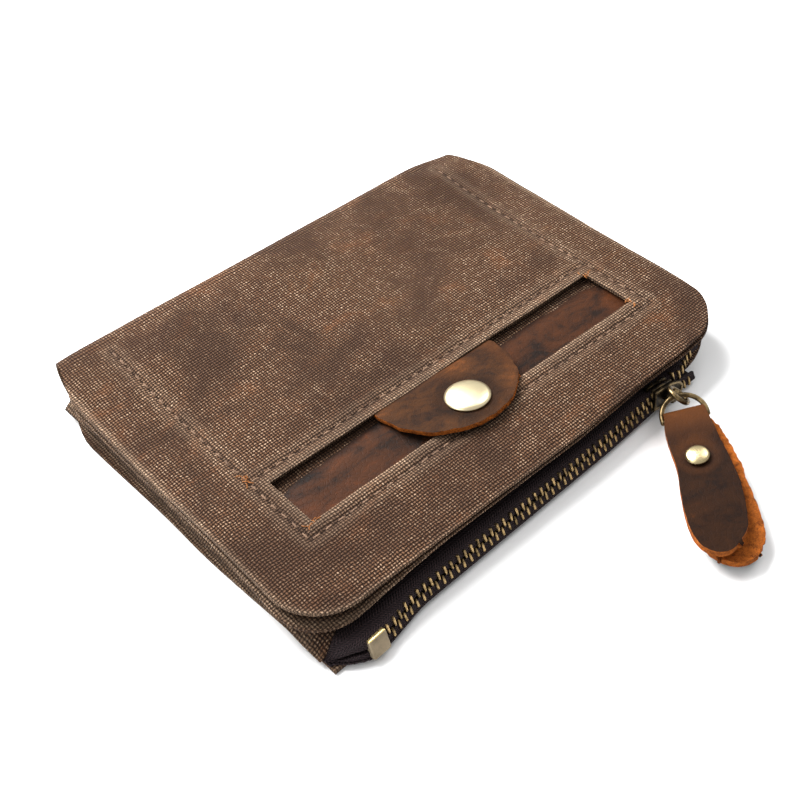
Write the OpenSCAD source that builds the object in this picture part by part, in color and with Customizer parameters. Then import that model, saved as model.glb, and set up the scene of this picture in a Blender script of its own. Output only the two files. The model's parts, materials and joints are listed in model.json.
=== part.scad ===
// Canvas coin pouch with a folding pocket cover, leather snap tab, metal zip and leather zip pull.
// X runs along the zip, Y runs back to the fold, Z is up. The origin is the middle of the rest face.

/* [Cover] */
// Width of the cover along the zip
cover_w = 125; // [115:1:150]
// Depth of the cover from its front edge to the outside of the fold
cover_d = 97; // [88:0.1:117]
// Radius of the cover's two front corners
corner_r = 12; // [6:1:16]
// Thickness of the waxed canvas
canvas_t = 0.9; // [0.8:0.1:1.1]
// Width of the turned hem round the cover
hem_w = 5; // [3:0.5:6]
// Depth of the turned hem under the canvas
hem_t = 0.4; // [0.2:0.1:0.5]

/* [Window] */
// Width of the slot window in the cover
window_w = 93; // [70:1:98]
// Depth of the slot window
window_d = 14; // [11:0.5:18]
// Distance from the cover's front edge to the window
window_front = 20.6; // [18:0.2:26]
// Distance from the window to its row of stitches
seam_gap = 3; // [2:0.5:4]
// Thickness of the leather behind the window
band_t = 0.8; // [0.6:0.1:1.0]

/* [Snap tab] */
// Width of the half-moon tab
tab_w = 33.4; // [26:0.2:40]
// How far the tab reaches from the window's back edge
tab_reach = 19.2; // [17:0.2:22]
// Thickness of the tab leather
tab_t = 1.2; // [1:0.1:1.5]
// Lean of the closed tab up over the snap
tab_lean = 7; // [6:0.5:9]
// Distance from the window's back edge to the middle of the snap
snap_reach = 11; // [9.5:0.1:11.5]
// Radius of the snap's domed cap
cap_r = 5; // [4:0.1:6]
// Height of the snap's domed cap
cap_h = 1.3; // [1:0.1:2]

/* [Pouch] */
// Width of the zipped pouch
pouch_w = 122; // [112:1:146]
// Height of the flat, empty coin space
cavity_h = 3.7; // [2.5:0.1:3.9]
// Thickness of the lining cloth
lining_t = 0.3; // [0.2:0.1:0.4]
// Thickness of one card slot panel
slot_t = 0.4; // [0.3:0.1:0.5]

/* [Zip] */
// Lean of the zip's face away from level
zip_lean = 58; // [50:1:65]
// Turn of the zip in plan against the cover
zip_skew = 2; // [0:0.5:3]
// Pitch of the teeth along one row
tooth_pitch = 1.84; // [1.6:0.02:2.1]
// Width of the closed chain
chain_w = 3.8; // [3.4:0.1:4.2]
// Thickness of the chain
chain_t = 1.4; // [1.2:0.1:1.8]
// Thickness of the zip tape
tape_t = 0.5; // [0.4:0.05:0.6]
// Length of the bottom stop
stop_l = 3.8; // [3:0.1:5]

/* [Slider] */
// Length of the slider
slider_l = 10.6; // [9:0.2:12]
// Thickness of the slider's plates
plate_t = 0.8; // [0.6:0.1:1]
// Middle of the closed slider along the zip
slider_at = 36.4; // [30:0.1:42]
// Gap between the chain and the inside of the slider
slider_gap = 0.15; // [0.1:0.01:0.2]

/* [Ring and pull] */
// Radius of the wire of the ring and the slider's eye
wire_r = 0.55; // [0.5:0.01:0.6]
// Radius of the ring's bow to the middle of its wire
bow_r = 4.8; // [4.6:0.1:5.2]
// Radius of the slider's eye to the middle of its wire
eye_r = 2.4; // [2.3:0.05:2.7]
// Thickness of the pull leather
pull_t = 1.4; // [1.2:0.1:1.6]
// Length of the leather pull from the ring's bar
pull_l = 37; // [30:1:46]
// Width of the pull at the ring
pull_w = 8.1; // [7:0.1:8.2]
// Radius of the pull's round end
pull_end_r = 6.2; // [5.6:0.1:8]
// Radius of the rivet's cap
rivet_r = 2.9; // [2.2:0.1:3.4]

/* [Hidden] */
$fn = 64;

// Heights of the layers, from the table up.
lining_z = canvas_t;
cavity_z = lining_z + lining_t;
top_lining_z = cavity_z + cavity_h;
pouch_top_z = top_lining_z + lining_t + canvas_t;
cover_gap = 0.7;
slot_front_z = pouch_top_z + cover_gap;
slot_back_z = slot_front_z + slot_t;
cover_lining_z = slot_back_z + slot_t;
cover_lining_t = 0.7;
pocket_lining_z = cover_lining_z + cover_lining_t;
pocket_lining_t = 0.2;
band_z = pocket_lining_z + pocket_lining_t;
pocket_gap = 0.3;
canvas_z = band_z + band_t + pocket_gap;
top_z = canvas_z + canvas_t;
hem_split_z = canvas_z - hem_t;

// Plan of the cover and pouch.
front_y = -cover_d / 2;
fold_y = cover_d / 2;
fold_r = top_z / 2;
hinge_y = fold_y - fold_r;
window_x = 0.9;
window_y = front_y + window_front;
window_back_y = window_y + window_d;
band_edge = seam_gap + 2.5;
fold_inset = 3.5;
fold_corner = 9;
lining_inset = 0.5;
side_w = 1;
lining_gap = 1.6;
pouch_x = -0.2;
pouch_back_y = hinge_y - 0.5;
seam_w = 1.2;
bottom_front_in = 0.9;
top_front_in = 4.6;
side_front_in = 5.2;
lining_front_in = 12;
back_narrowing = 0.5;
card_side_in = 8;
card_back_d = 66;
card_front_d = 52;

// The zip's middle line and its ends.
zip_y = front_y - 1.6;
zip_z = lining_z + lining_t + 2.4;
stop_x = -49.4;
tape_left_x = -pouch_w / 2 + 4.5;
tape_right_x = pouch_w / 2 - 6;
tooth_w = tooth_pitch * 0.42;
tooth_reach = 0.4;
open_teeth = 5;
row_drop = 1.5;
open_x = slider_at + slider_l / 2 + 0.3;
closed_teeth = floor((open_x - stop_x) / tooth_pitch);
wedge_l = 1.6;
wedge_half = 0.45;
parting = tooth_reach + wedge_half + 0.15;
part_x = open_x - wedge_l - tooth_w - 0.8;

// Slider channel and wedge.
channel_v = chain_w / 2 + 0.3;
channel_w = chain_t / 2 + slider_gap;
flange_t = 0.6;
slider_flare = 0.9;
tape_slot = tape_t / 2 + 0.15;

// Ring and eye directions.
ring_turn = -36;
ring_roll = 11;
ring_pitch = 20;
pull_pitch = -0.5;
ring_leg = 0.7;
ring_reach = bow_r + ring_leg;
eye_out = 2.3;
eye_back = 1.2;
eye_side = 0.4;
eye_turn = -36;
eye_rise = 15;
eye_roll = -38;
eye_at = slider_at - eye_back;

// Pull strap and rivet.
pull_bore = wire_r + 0.1;
strap_turn = -4;
rivet_y = 12.2;
rivet_hole = 1.1;
rivet_post_r = 1.0;
back_shift = 3;
back_longer = 0.8;

// Stitches.
stitch_l = 2.6;
stitch_gap = 0.9;
thread_t = 0.5;

// A plate outline with round front corners and slightly drawn-in back corners.
module cover_outline(w, inset, back_y) {
    half = w / 2 - inset;
    front = front_y + inset;
    r = corner_r - inset;
    union() {
        polygon([
            [-half, front + r],
            [half, front + r],
            [half, back_y - fold_corner],
            [half - fold_inset, back_y],
            [-half + fold_inset, back_y],
            [-half, back_y - fold_corner]
        ]);
        translate([-half + r, front]) square([2 * (half - r), r + 0.01]);
        for (side = [-1, 1]) translate([side * (half - r), front + r]) circle(r);
    }
}

module window_outline(edge) {
    translate([window_x - window_w / 2 - edge, window_y - edge])
        square([window_w + 2 * edge, window_d + 2 * edge]);
}

// The pouch's outline, whose front edge follows the zip.
module pouch_outline(inset, front_in) {
    half = pouch_w / 2 - inset;
    front = zip_y + front_in;
    rise = half * tan(zip_skew);
    translate([pouch_x, 0]) polygon([
        [-half, front - rise],
        [half, front + rise],
        [half - back_narrowing, pouch_back_y],
        [-half - back_narrowing, pouch_back_y]
    ]);
}

module slab(z, t) {
    translate([0, 0, z]) linear_extrude(t) children();
}

// Puts its children in the zip's frame: x along the chain, y across its face, z out of its face.
module on_zip(x) {
    translate([0, zip_y, zip_z]) rotate([0, 0, zip_skew]) rotate([zip_lean, 0, 0]) translate([x, 0, 0])
        children();
}

module at_eye() {
    on_zip(eye_at) translate([0, eye_side, channel_w + plate_t + eye_out])
        rotate([-zip_lean, 0, 0]) rotate([0, 0, -zip_skew]) children();
}

// Puts its children in the ring's frame at the middle of its bar: x along the bar, y towards the eye.
module at_bar(pitch) {
    at_eye() rotate([0, 0, ring_turn]) rotate([0, -ring_roll, 0]) rotate([ring_pitch, 0, 0])
        translate([0, -ring_reach, 0]) rotate([pitch - ring_pitch, 0, 0]) children();
}

module bottom_canvas() {
    color("#4f3a2c") slab(0, canvas_t) pouch_outline(0, bottom_front_in);
}

module bottom_lining() {
    color("#3b2f28") slab(lining_z, lining_t) pouch_outline(side_w + lining_gap, lining_front_in);
}

module top_lining() {
    color("#3b2f28") slab(top_lining_z, lining_t) pouch_outline(side_w + lining_gap, lining_front_in);
}

module top_canvas() {
    color("#6b5140") slab(pouch_top_z - canvas_t, canvas_t) pouch_outline(0, top_front_in);
}

module side_seam(side) {
    intersection() {
        slab(lining_z, top_lining_z + lining_t - lining_z) pouch_outline(0, side_front_in);
        translate([pouch_x + side * pouch_w / 2, 0, 0])
            cube([2 * side_w + 1, 2 * cover_d, 3 * top_z], center = true);
    }
}

module side_seam_left() {
    color("#5a4334") side_seam(-1);
}

module side_seam_right() {
    color("#5a4334") side_seam(1);
}

module back_seam() {
    color("#5a4334") translate([pouch_x, pouch_back_y - seam_w / 2, (lining_z + top_lining_z + lining_t) / 2])
        cube([pouch_w - 4 * side_w, seam_w, top_lining_z + lining_t - lining_z - 2 * lining_t - 0.1],
             center = true);
}

// One tape: a strip in the chain's plane, then a level strip into the pouch.
tape_run = 8;
module tape_strip(side, level_z) {
    bend = (level_z - zip_z) / sin(zip_lean);
    inner = side * chain_w / 2;
    length = tape_right_x - tape_left_x;
    on_zip(0) translate([tape_left_x, min(inner, bend), -tape_t / 2])
        cube([length, abs(bend - inner), tape_t]);
    translate([0, zip_y, level_z]) rotate([0, 0, zip_skew])
        translate([tape_left_x, bend * cos(zip_lean) - tape_t / 2, -tape_t / 2])
            cube([length, tape_run, tape_t]);
}

// Room for the slider's back plate in the level strips of the tapes.
module slider_room() {
    room = 0.35;
    half = channel_v + flange_t + slider_flare + room;
    for (face = [0, 1]) on_zip(slider_at) mirror([0, 0, face])
        translate([-slider_l / 2 - room, -half, tape_slot])
            cube([slider_l + 2 * room, 2 * half, channel_w + plate_t + room - tape_slot]);
}

module tape_upper() {
    color("#2a2020") difference() {
        tape_strip(1, pouch_top_z - canvas_t - tape_t / 2 - 0.03);
        slider_room();
    }
}

module tape_lower() {
    color("#2a2020") difference() {
        tape_strip(-1, lining_z + tape_t / 2 + 0.05);
        on_zip(open_x) translate([0, -chain_w / 2 - row_drop, -chain_t])
            cube([tape_right_x, row_drop, 2 * chain_t]);
        slider_room();
    }
}

// A tooth seen from the face: a wide foot on the tape and a narrower head.
module tooth() {
    foot = tooth_w / 2;
    head = tooth_w * 0.4;
    translate([0, 0, -chain_t / 2]) linear_extrude(chain_t) polygon([
        [-foot, chain_w / 2],
        [foot, chain_w / 2],
        [foot, 0.5],
        [head, -tooth_reach],
        [-head, -tooth_reach],
        [-foot, 0.5]
    ]);
}

// One row: meshed teeth up to the slider, teeth that part round its wedge, and open teeth beyond it.
module teeth_row(half_pitch, open_count, drop) {
    for (i = [1 : closed_teeth - 1]) {
        x = stop_x + (i + half_pitch) * tooth_pitch;
        if (x < open_x - tooth_w)
            on_zip(x) translate([0, x > part_x ? parting : 0, 0]) tooth();
    }
    for (i = [0 : open_count - 1])
        on_zip(open_x + (i + 0.4) * tooth_pitch) translate([0, drop, 0]) tooth();
}

module teeth_upper() {
    color("#8a7440") teeth_row(0, open_teeth, 0);
}

module teeth_lower() {
    color("#8a7440") translate([0, zip_y, zip_z]) rotate([0, 0, zip_skew]) rotate([zip_lean, 0, 0])
        mirror([0, 1, 0]) rotate([-zip_lean, 0, 0]) rotate([0, 0, -zip_skew]) translate([0, -zip_y, -zip_z])
            teeth_row(0.5, open_teeth - 2, row_drop);
}

// A folded brass box that holds the ends of both tapes.
module bottom_stop() {
    color("#b39a58") on_zip(stop_x - stop_l / 2 + 0.6) difference() {
        cube([stop_l, chain_w + 0.6, chain_t + 0.8], center = true);
        cube([stop_l + 1, chain_w + 0.01, tape_t + 0.2], center = true);
    }
}

module spine_canvas() {
    color("#5d4636") translate([-cover_w / 2 + fold_inset, hinge_y, fold_r]) rotate([90, 0, 90])
        linear_extrude(cover_w - 2 * fold_inset) intersection() {
            difference() {
                circle(fold_r);
                circle(fold_r - canvas_t);
            }
            translate([0, -fold_r]) square([fold_r, 2 * fold_r]);
        }
}

module cover_canvas() {
    color("#6b5140") difference() {
        union() {
            slab(canvas_z, canvas_t) cover_outline(cover_w, 0, hinge_y);
            slab(hem_split_z, hem_t) difference() {
                cover_outline(cover_w, 0, hinge_y);
                cover_outline(cover_w, hem_w, hinge_y + 1);
            }
        }
        slab(band_z, top_z) window_outline(0);
    }
}

module cover_lining() {
    color("#5a4334") {
        slab(cover_lining_z, cover_lining_t) cover_outline(cover_w, lining_inset, hinge_y - 0.5);
        slab(pocket_lining_z, hem_split_z - pocket_lining_z) difference() {
            cover_outline(cover_w, lining_inset, hinge_y - 0.5);
            cover_outline(cover_w, hem_w, hinge_y);
        }
    }
}

module pocket_lining() {
    color("#3b2f28") slab(pocket_lining_z, pocket_lining_t)
        translate([window_x - window_w / 2 - band_edge, window_y - band_edge])
            square([window_w + 2 * band_edge, hinge_y - hem_w - window_y + band_edge]);
}

module window_leather() {
    color("#5c3318") slab(band_z, band_t) difference() {
        window_outline(band_edge);
        translate([tab_x, window_back_y - snap_reach]) circle(rivet_hole);
    }
}

module card_slot(z, depth) {
    color("#5a4334") slab(z, slot_t) translate([-cover_w / 2 + card_side_in, front_y + card_side_in])
        square([cover_w - 2 * card_side_in, depth]);
}

module card_slot_back() {
    card_slot(slot_back_z, card_back_d);
}

module card_slot_front() {
    card_slot(slot_front_z, card_front_d);
}

// A straight run of separate stitches that stand a little out of the canvas.
module stitch_run(from, to) {
    span = norm(to - from);
    step = stitch_l + stitch_gap;
    count = floor(span / step);
    turn = atan2(to[1] - from[1], to[0] - from[0]);
    translate([from[0], from[1], top_z - thread_t / 2]) rotate([0, 0, turn])
        for (i = [0 : count - 1]) translate([(i + 0.5) * span / count - stitch_l / 2, -thread_t / 2, thread_t / 2])
            cube([stitch_l, thread_t, thread_t / 3]);
}

seam_left = window_x - window_w / 2 - seam_gap;
seam_right = window_x + window_w / 2 + seam_gap;
seam_front = window_y - seam_gap;
seam_back = window_back_y + seam_gap;

module window_stitching() {
    color("#8d7358") {
        stitch_run([seam_left + 1, seam_front], [seam_right - 1, seam_front]);
        stitch_run([seam_left + 1, seam_back], [seam_right - 1, seam_back]);
        stitch_run([seam_left, seam_front], [seam_left, seam_back]);
        stitch_run([seam_right, seam_front], [seam_right, seam_back]);
    }
}

module pocket_stitching() {
    color("#8d7358") for (x = [seam_left, seam_right])
        stitch_run([x, seam_back + 2], [x, hinge_y - 2]);
}

// Snap stud on the leather band, with the rivet that holds it from behind.
tab_x = -1.3;
stud_r = 1.3;
socket_gap = 0.5;
stud_flange_r = stud_r + socket_gap - 0.15;
stud_flange_t = 0.25;
stud_h = 0.7;
socket_t = 0.8;
socket_r = 2.6;

module at_snap(z) {
    translate([tab_x, window_back_y - snap_reach, z]) children();
}

module snap_stud() {
    color("#b39a58") at_snap(band_z + band_t) {
        cylinder(h = stud_flange_t, r = stud_flange_r);
        translate([0, 0, stud_flange_t]) cylinder(h = stud_h - stud_flange_t, r = stud_r);
    }
}

module stud_rivet() {
    color("#b39a58") at_snap(band_z) cylinder(h = band_t, r = rivet_post_r);
}

// The tab's hidden end, sewn between the canvas and its lining.
module tab_root() {
    color("#5c3318") slab(band_z + band_t + 0.02, pocket_gap - 0.04)
        translate([tab_x - tab_w / 2, window_back_y + 0.2]) square([tab_w, 6]);
}

// The tab turns about a line just inside the window's back edge.
tab_clear = 0.05;
tab_pivot_y = window_back_y - tab_t / 2 - 0.15;
tab_pivot_z = band_z + band_t + tab_t / 2 + tab_clear;
tab_r = tab_w / 2;
tab_length = tab_reach - (window_back_y - tab_pivot_y);

module on_tab() {
    translate([tab_x, tab_pivot_y, tab_pivot_z]) rotate([-tab_lean, 0, 0]) children();
}

module snap_tab() {
    snap_along = snap_reach - (window_back_y - tab_pivot_y);
    color("#5c3318") on_tab() difference() {
        union() {
            rotate([0, 90, 0]) cylinder(h = tab_w, r = tab_t / 2, center = true);
            translate([-tab_r, -tab_length + tab_r, -tab_t / 2]) cube([tab_w, tab_length - tab_r, tab_t]);
            intersection() {
                translate([0, -tab_length + tab_r, -tab_t / 2]) cylinder(h = tab_t, r = tab_r);
                translate([-tab_r, -tab_length, -tab_t]) cube([tab_w, tab_r, 2 * tab_t]);
            }
        }
        translate([0, -snap_along, -tab_t]) cylinder(h = 2 * tab_t, r = rivet_hole);
    }
}

module at_tab_snap() {
    on_tab() translate([0, -(snap_reach - (window_back_y - tab_pivot_y)), 0]) children();
}

// A low spherical dome on a short post.
module dome(r, h) {
    ball = (r * r + h * h) / (2 * h);
    intersection() {
        translate([0, 0, h - ball]) sphere(ball, $fn = 160);
        cylinder(h = h, r = r);
    }
}

module snap_cap() {
    color("#d6c48c") at_tab_snap() {
        translate([0, 0, tab_t / 2]) dome(cap_r, cap_h);
        translate([0, 0, -tab_t / 2]) cylinder(h = tab_t, r = rivet_post_r);
    }
}

module snap_socket() {
    color("#b39a58") at_tab_snap() translate([0, 0, -tab_t / 2 - socket_t]) difference() {
        cylinder(h = socket_t, r = socket_r);
        translate([0, 0, -0.1]) cylinder(h = socket_t - 0.1, r = stud_r + socket_gap);
    }
}

// Slider: a plate on each side of the chain, turned-in flanges, and a wedge that parts the rows.
module slider_plate_outline() {
    narrow = channel_v + flange_t;
    wide = narrow + slider_flare;
    polygon([
        [-slider_l / 2, -narrow],
        [slider_l / 2 - 4, -narrow],
        [slider_l / 2 - 2, -wide],
        [slider_l / 2, -wide + 1.4],
        [slider_l / 2, wide - 1.4],
        [slider_l / 2 - 2, wide],
        [slider_l / 2 - 4, narrow],
        [-slider_l / 2, narrow]
    ]);
}

module slider_half(face) {
    mirror([0, 0, face < 0 ? 1 : 0]) {
        translate([0, 0, channel_w]) linear_extrude(plate_t) slider_plate_outline();
        for (side = [-1, 1]) translate([-slider_l / 2, side * (channel_v + flange_t / 2) - flange_t / 2, tape_slot])
            cube([slider_l - 4, flange_t, channel_w - tape_slot]);
    }
}

module slider_body() {
    color("#6f5f3c") on_zip(slider_at) {
        slider_half(1);
        slider_half(-1);
        translate([slider_l / 2 - wedge_l - 0.2, -wedge_half, -channel_w - 0.1])
            cube([wedge_l, 2 * wedge_half, 2 * channel_w + 0.2]);
    }
}

module slider_eye() {
    color("#8a7440") difference() {
        union() {
            at_eye() rotate([0, 0, eye_turn]) rotate([-eye_rise, 0, 0]) rotate([0, -eye_roll, 0])
                rotate_extrude() translate([eye_r, 0]) circle(wire_r, $fn = 24);
            on_zip(eye_at) translate([0.9, eye_side + 0.2, channel_w + plate_t]) cylinder(h = 1.2, r = 0.8);
        }
        on_zip(slider_at) translate([-slider_l, -slider_l, channel_w + plate_t - 3])
            cube([2 * slider_l, 2 * slider_l, 3]);
    }
}

// D-shaped wire ring: a straight bar, two short legs and a round bow.
module puller_ring() {
    color("#8a7440") at_bar(ring_pitch) {
        rotate([0, 90, 0]) cylinder(h = 2 * bow_r, r = wire_r, center = true);
        for (side = [-1, 1]) translate([side * bow_r, 0, 0]) {
            sphere(wire_r);
            rotate([-90, 0, 0]) cylinder(h = ring_leg, r = wire_r);
        }
        translate([0, ring_leg, 0]) intersection() {
            rotate_extrude() translate([bow_r, 0]) circle(wire_r, $fn = 24);
            translate([-2 * bow_r, 0, -bow_r]) cube([4 * bow_r, 2 * bow_r, 2 * bow_r]);
        }
    }
}

// One layer of the strap, seen flat: narrow at the ring and round at the end.
module strap_outline(shift, longer) {
    end_y = -(pull_l + longer - pull_end_r);
    hull() {
        translate([-pull_w / 2, -2]) square([pull_w, 2]);
        translate([0, -rivet_y]) circle(pull_w / 2 + 0.6, $fn = 32);
    }
    hull() {
        translate([0, -rivet_y]) circle(pull_w / 2 + 0.6, $fn = 32);
        rotate([0, 0, strap_turn]) translate([shift, end_y]) circle(pull_end_r, $fn = 48);
    }
}

module strap_layer(side, shift, longer) {
    mirror([0, 0, side < 0 ? 1 : 0]) translate([0, 0, pull_bore]) linear_extrude(pull_t)
        strap_outline(shift, longer);
}

module pull_strap() {
    color("#7a431c") at_bar(pull_pitch) difference() {
        union() {
            strap_layer(1, 0, 0);
            strap_layer(-1, back_shift, back_longer);
            rotate([0, 90, 0]) cylinder(h = pull_w, r = pull_bore + pull_t, center = true);
        }
        rotate([0, 90, 0]) cylinder(h = pull_w + 1, r = pull_bore, center = true);
        translate([-pull_w, -pull_bore - 4, -pull_bore]) cube([2 * pull_w, pull_bore + 4, 2 * pull_bore]);
        translate([0, -rivet_y, -10]) cylinder(h = 20, r = rivet_hole);
    }
}

module rivet_cap() {
    color("#d6c48c") at_bar(pull_pitch) translate([0, -rivet_y, pull_bore + pull_t]) dome(rivet_r, 0.9);
}

module rivet_post() {
    color("#b39a58") at_bar(pull_pitch) translate([0, -rivet_y, 0]) {
        translate([0, 0, -pull_bore - pull_t]) cylinder(h = 2 * (pull_bore + pull_t), r = rivet_post_r);
        translate([0, 0, -pull_bore - pull_t - 0.3]) cylinder(h = 0.3, r = rivet_r - 0.6);
    }
}

bottom_canvas();
bottom_lining();
top_lining();
top_canvas();
side_seam_left();
side_seam_right();
back_seam();
tape_upper();
tape_lower();
teeth_upper();
teeth_lower();
bottom_stop();
spine_canvas();
cover_canvas();
cover_lining();
pocket_lining();
window_leather();
card_slot_back();
card_slot_front();
window_stitching();
pocket_stitching();
snap_stud();
stud_rivet();
tab_root();
snap_tab();
snap_cap();
snap_socket();
slider_body();
slider_eye();
puller_ring();
pull_strap();
rivet_cap();
rivet_post();
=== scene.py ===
# %% [markdown]
# # A canvas coin pouch with a pocket cover
# The pouch lies flat, its cover folded over it. One waxed canvas makes the cover, the fold and the bottom. The
# imported model gives every place, so it is loaded first.

# %% Load the frame
import json
import math

import bpy
import numpy as np
from mathutils import Matrix, Vector
from mathutils import noise as hills


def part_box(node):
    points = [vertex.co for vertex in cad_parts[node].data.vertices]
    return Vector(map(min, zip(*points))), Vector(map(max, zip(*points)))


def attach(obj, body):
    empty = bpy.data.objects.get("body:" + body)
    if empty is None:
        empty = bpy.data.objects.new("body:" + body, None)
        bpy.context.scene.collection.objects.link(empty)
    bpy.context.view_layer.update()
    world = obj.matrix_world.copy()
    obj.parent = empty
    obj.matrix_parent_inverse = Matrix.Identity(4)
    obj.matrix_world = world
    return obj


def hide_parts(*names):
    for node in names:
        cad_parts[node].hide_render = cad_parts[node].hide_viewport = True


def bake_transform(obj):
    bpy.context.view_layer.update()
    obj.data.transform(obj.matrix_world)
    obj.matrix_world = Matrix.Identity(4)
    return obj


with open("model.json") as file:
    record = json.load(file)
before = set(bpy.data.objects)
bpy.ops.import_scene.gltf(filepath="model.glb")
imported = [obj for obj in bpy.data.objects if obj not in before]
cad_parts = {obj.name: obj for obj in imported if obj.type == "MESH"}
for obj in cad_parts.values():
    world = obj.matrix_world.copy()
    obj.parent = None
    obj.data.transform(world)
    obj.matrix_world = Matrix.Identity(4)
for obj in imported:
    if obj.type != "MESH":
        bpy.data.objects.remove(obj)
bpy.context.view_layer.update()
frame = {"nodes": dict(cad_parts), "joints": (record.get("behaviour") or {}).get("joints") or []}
MM = 0.001

# %% [markdown]
# ## Camera, table and light
# The camera stands in front on the left and looks down at 45 degrees. A turned head is given by three angles: which
# way it looks round the object, how far down, and a small roll. Their matrix is made from the three directions that
# a camera has: right, up and back.

# %% Camera
CAMERA_PLACE = Vector((-122.13, -153.29, 187.43)) * MM
CAMERA_TURN, CAMERA_DOWN, CAMERA_ROLL = (math.radians(a) for a in (-38.618, 44.910, -4.046))
SENSOR = 36.0
LENS = 53.12

back = Vector((
    math.sin(CAMERA_TURN) * math.cos(CAMERA_DOWN),
    -math.cos(CAMERA_TURN) * math.cos(CAMERA_DOWN),
    math.sin(CAMERA_DOWN),
))
level = Vector((0, 0, 1)).cross(back).normalized()
above = back.cross(level)
right = level * math.cos(CAMERA_ROLL) + above * math.sin(CAMERA_ROLL)
up = above * math.cos(CAMERA_ROLL) - level * math.sin(CAMERA_ROLL)

bpy.ops.object.camera_add()
camera = bpy.context.object
camera.name = "camera"
camera.matrix_world = Matrix.Translation(CAMERA_PLACE) @ Matrix((right, up, back)).transposed().to_4x4()
camera.data.sensor_width = SENSOR
camera.data.lens = LENS
camera.data.clip_start = 0.01
bpy.context.scene.camera = camera
print("camera at, mm:", [round(c / MM, 1) for c in CAMERA_PLACE])

# %% [markdown]
# The table is one large white plane. Its colour is nearly white, and the sky light is white as well, so the floor
# comes out pale with a soft shadow close round the pouch, as on a light table.

# %% Table
bpy.ops.mesh.primitive_plane_add(size=6)
table = bpy.context.object
table.name = "table"
paint = bpy.data.materials.new("white_table")
paint.use_nodes = True
paint.node_tree.nodes["Principled BSDF"].inputs["Base Color"].default_value = (0.9, 0.9, 0.9, 1)
paint.node_tree.nodes["Principled BSDF"].inputs["Roughness"].default_value = 0.9
table.data.materials.append(paint)

# %% Sky and lamps
world = bpy.data.worlds.new("studio")
bpy.context.scene.world = world
world.use_nodes = True
world.node_tree.nodes["Background"].inputs["Color"].default_value = (1, 1, 1, 1)
world.node_tree.nodes["Background"].inputs["Strength"].default_value = 0.57


def soft_box(name, place, size, power):
    """A square lamp that looks at the middle of the pouch."""
    bpy.ops.object.light_add(type="AREA", location=Vector(place))
    lamp = bpy.context.object
    lamp.name = name
    lamp.data.size = size
    lamp.data.energy = power
    lamp.rotation_mode = "QUATERNION"
    lamp.rotation_quaternion = (-Vector(place)).to_track_quat("-Z", "Y")
    return lamp


soft_box("back_lamp", (-0.06, 0.42, 0.46), 0.4, 12)
soft_box("left_lamp", (-0.8, 0.2, 0.6), 0.6, 2.5)
soft_box("right_lamp", (0.7, 0.1, 0.8), 0.6, 4)
bpy.context.scene.view_settings.view_transform = "Standard"

# %% [markdown]
# ## Sums on shader sockets
# A finish is worked out at every point of a surface by nodes. Written as nodes, a sum of three terms takes a page,
# so a small class wraps one socket and lets ordinary arithmetic stand for the Math nodes. Every other kind of node
# comes from its one method.

# %% A socket that can be added and multiplied
class Wire:
    """One output of a material's nodes. Arithmetic on it adds Math nodes."""

    def __init__(self, tree, socket=None):
        self.tree = tree
        self.socket = socket

    def node(self, kind, settings=(), values=(), output=0):
        made = self.tree.nodes.new("ShaderNode" + kind)
        for name, value in dict(settings).items():
            if name == "stops":
                ramp = made.color_ramp.elements
                while len(ramp) < len(value):
                    ramp.new(0.5)
                for element, (place, colour) in zip(ramp, value):
                    element.position = place
                    element.color = (*colour, 1)
            else:
                setattr(made, name, value)
        for name, value in dict(values).items():
            if isinstance(value, Wire):
                self.tree.links.new(value.socket, made.inputs[name])
            else:
                made.inputs[name].default_value = value
        return Wire(self.tree, made.outputs[output])

    def math(self, operation, *terms):
        return self.node("Math", {"operation": operation}, dict(enumerate(terms)))

    def __add__(self, other):
        return self.math("ADD", self, other)

    def __radd__(self, other):
        return self.math("ADD", other, self)

    def __sub__(self, other):
        return self.math("SUBTRACT", self, other)

    def __rsub__(self, other):
        return self.math("SUBTRACT", other, self)

    def __mul__(self, other):
        return self.math("MULTIPLY", self, other)

    def __rmul__(self, other):
        return self.math("MULTIPLY", other, self)

    def between(self, low, high):
        """0 below low, 1 above high, and a smooth step in between."""
        return self.node("MapRange", {"interpolation_type": "SMOOTHSTEP"}, {0: self, 1: low, 2: high})

    def mixed(self, first, second):
        """The first colour where this is 0 and the second where it is 1."""
        first, second = (c if isinstance(c, Wire) else (*c, 1) for c in (first, second))
        return self.node("Mix", {"data_type": "RGBA"}, {0: self, 6: first, 7: second}, 2)


def finish_of(name, make, **settings):
    """A new material: make returns what changes over the surface, and the settings are the same all over it."""
    material = bpy.data.materials.new(name)
    material.use_nodes = True
    tree = material.node_tree
    shader = tree.nodes["Principled BSDF"]
    for socket, value in settings.items():
        shader.inputs[socket.replace("_", " ")].default_value = value
    made = make(Wire(tree))
    for socket, wire in made.items():
        tree.links.new(wire.socket, shader.inputs[socket])
    return material


print("shader sums are ready")

# %% [markdown]
# Most finishes here are blotches on blotches: large stains, small specks and fine grain. One noise function with a
# size in millimetres keeps every scale real. It reads the Object coordinates, which are the same as the model's own.

# %% Noise with a real size
def place(wire):
    """The point's place on the object, in millimetres."""
    spot = wire.node("TexCoord", output=3)
    return wire.node("VectorMath", {"operation": "SCALE"}, {0: spot, "Scale": 1 / MM})


def stretched(wire, at, stretch):
    return wire.node("VectorMath", {"operation": "MULTIPLY"}, {0: at, 1: stretch})


def noise(wire, at, size, detail=2.0, rough=0.5, twist=0.0):
    """Soft blotches about that many millimetres across, from 0 to 1."""
    values = {"Vector": at, "Scale": 1 / size, "Detail": detail, "Roughness": rough, "Distortion": twist}
    return wire.node("TexNoise", values=values)


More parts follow.
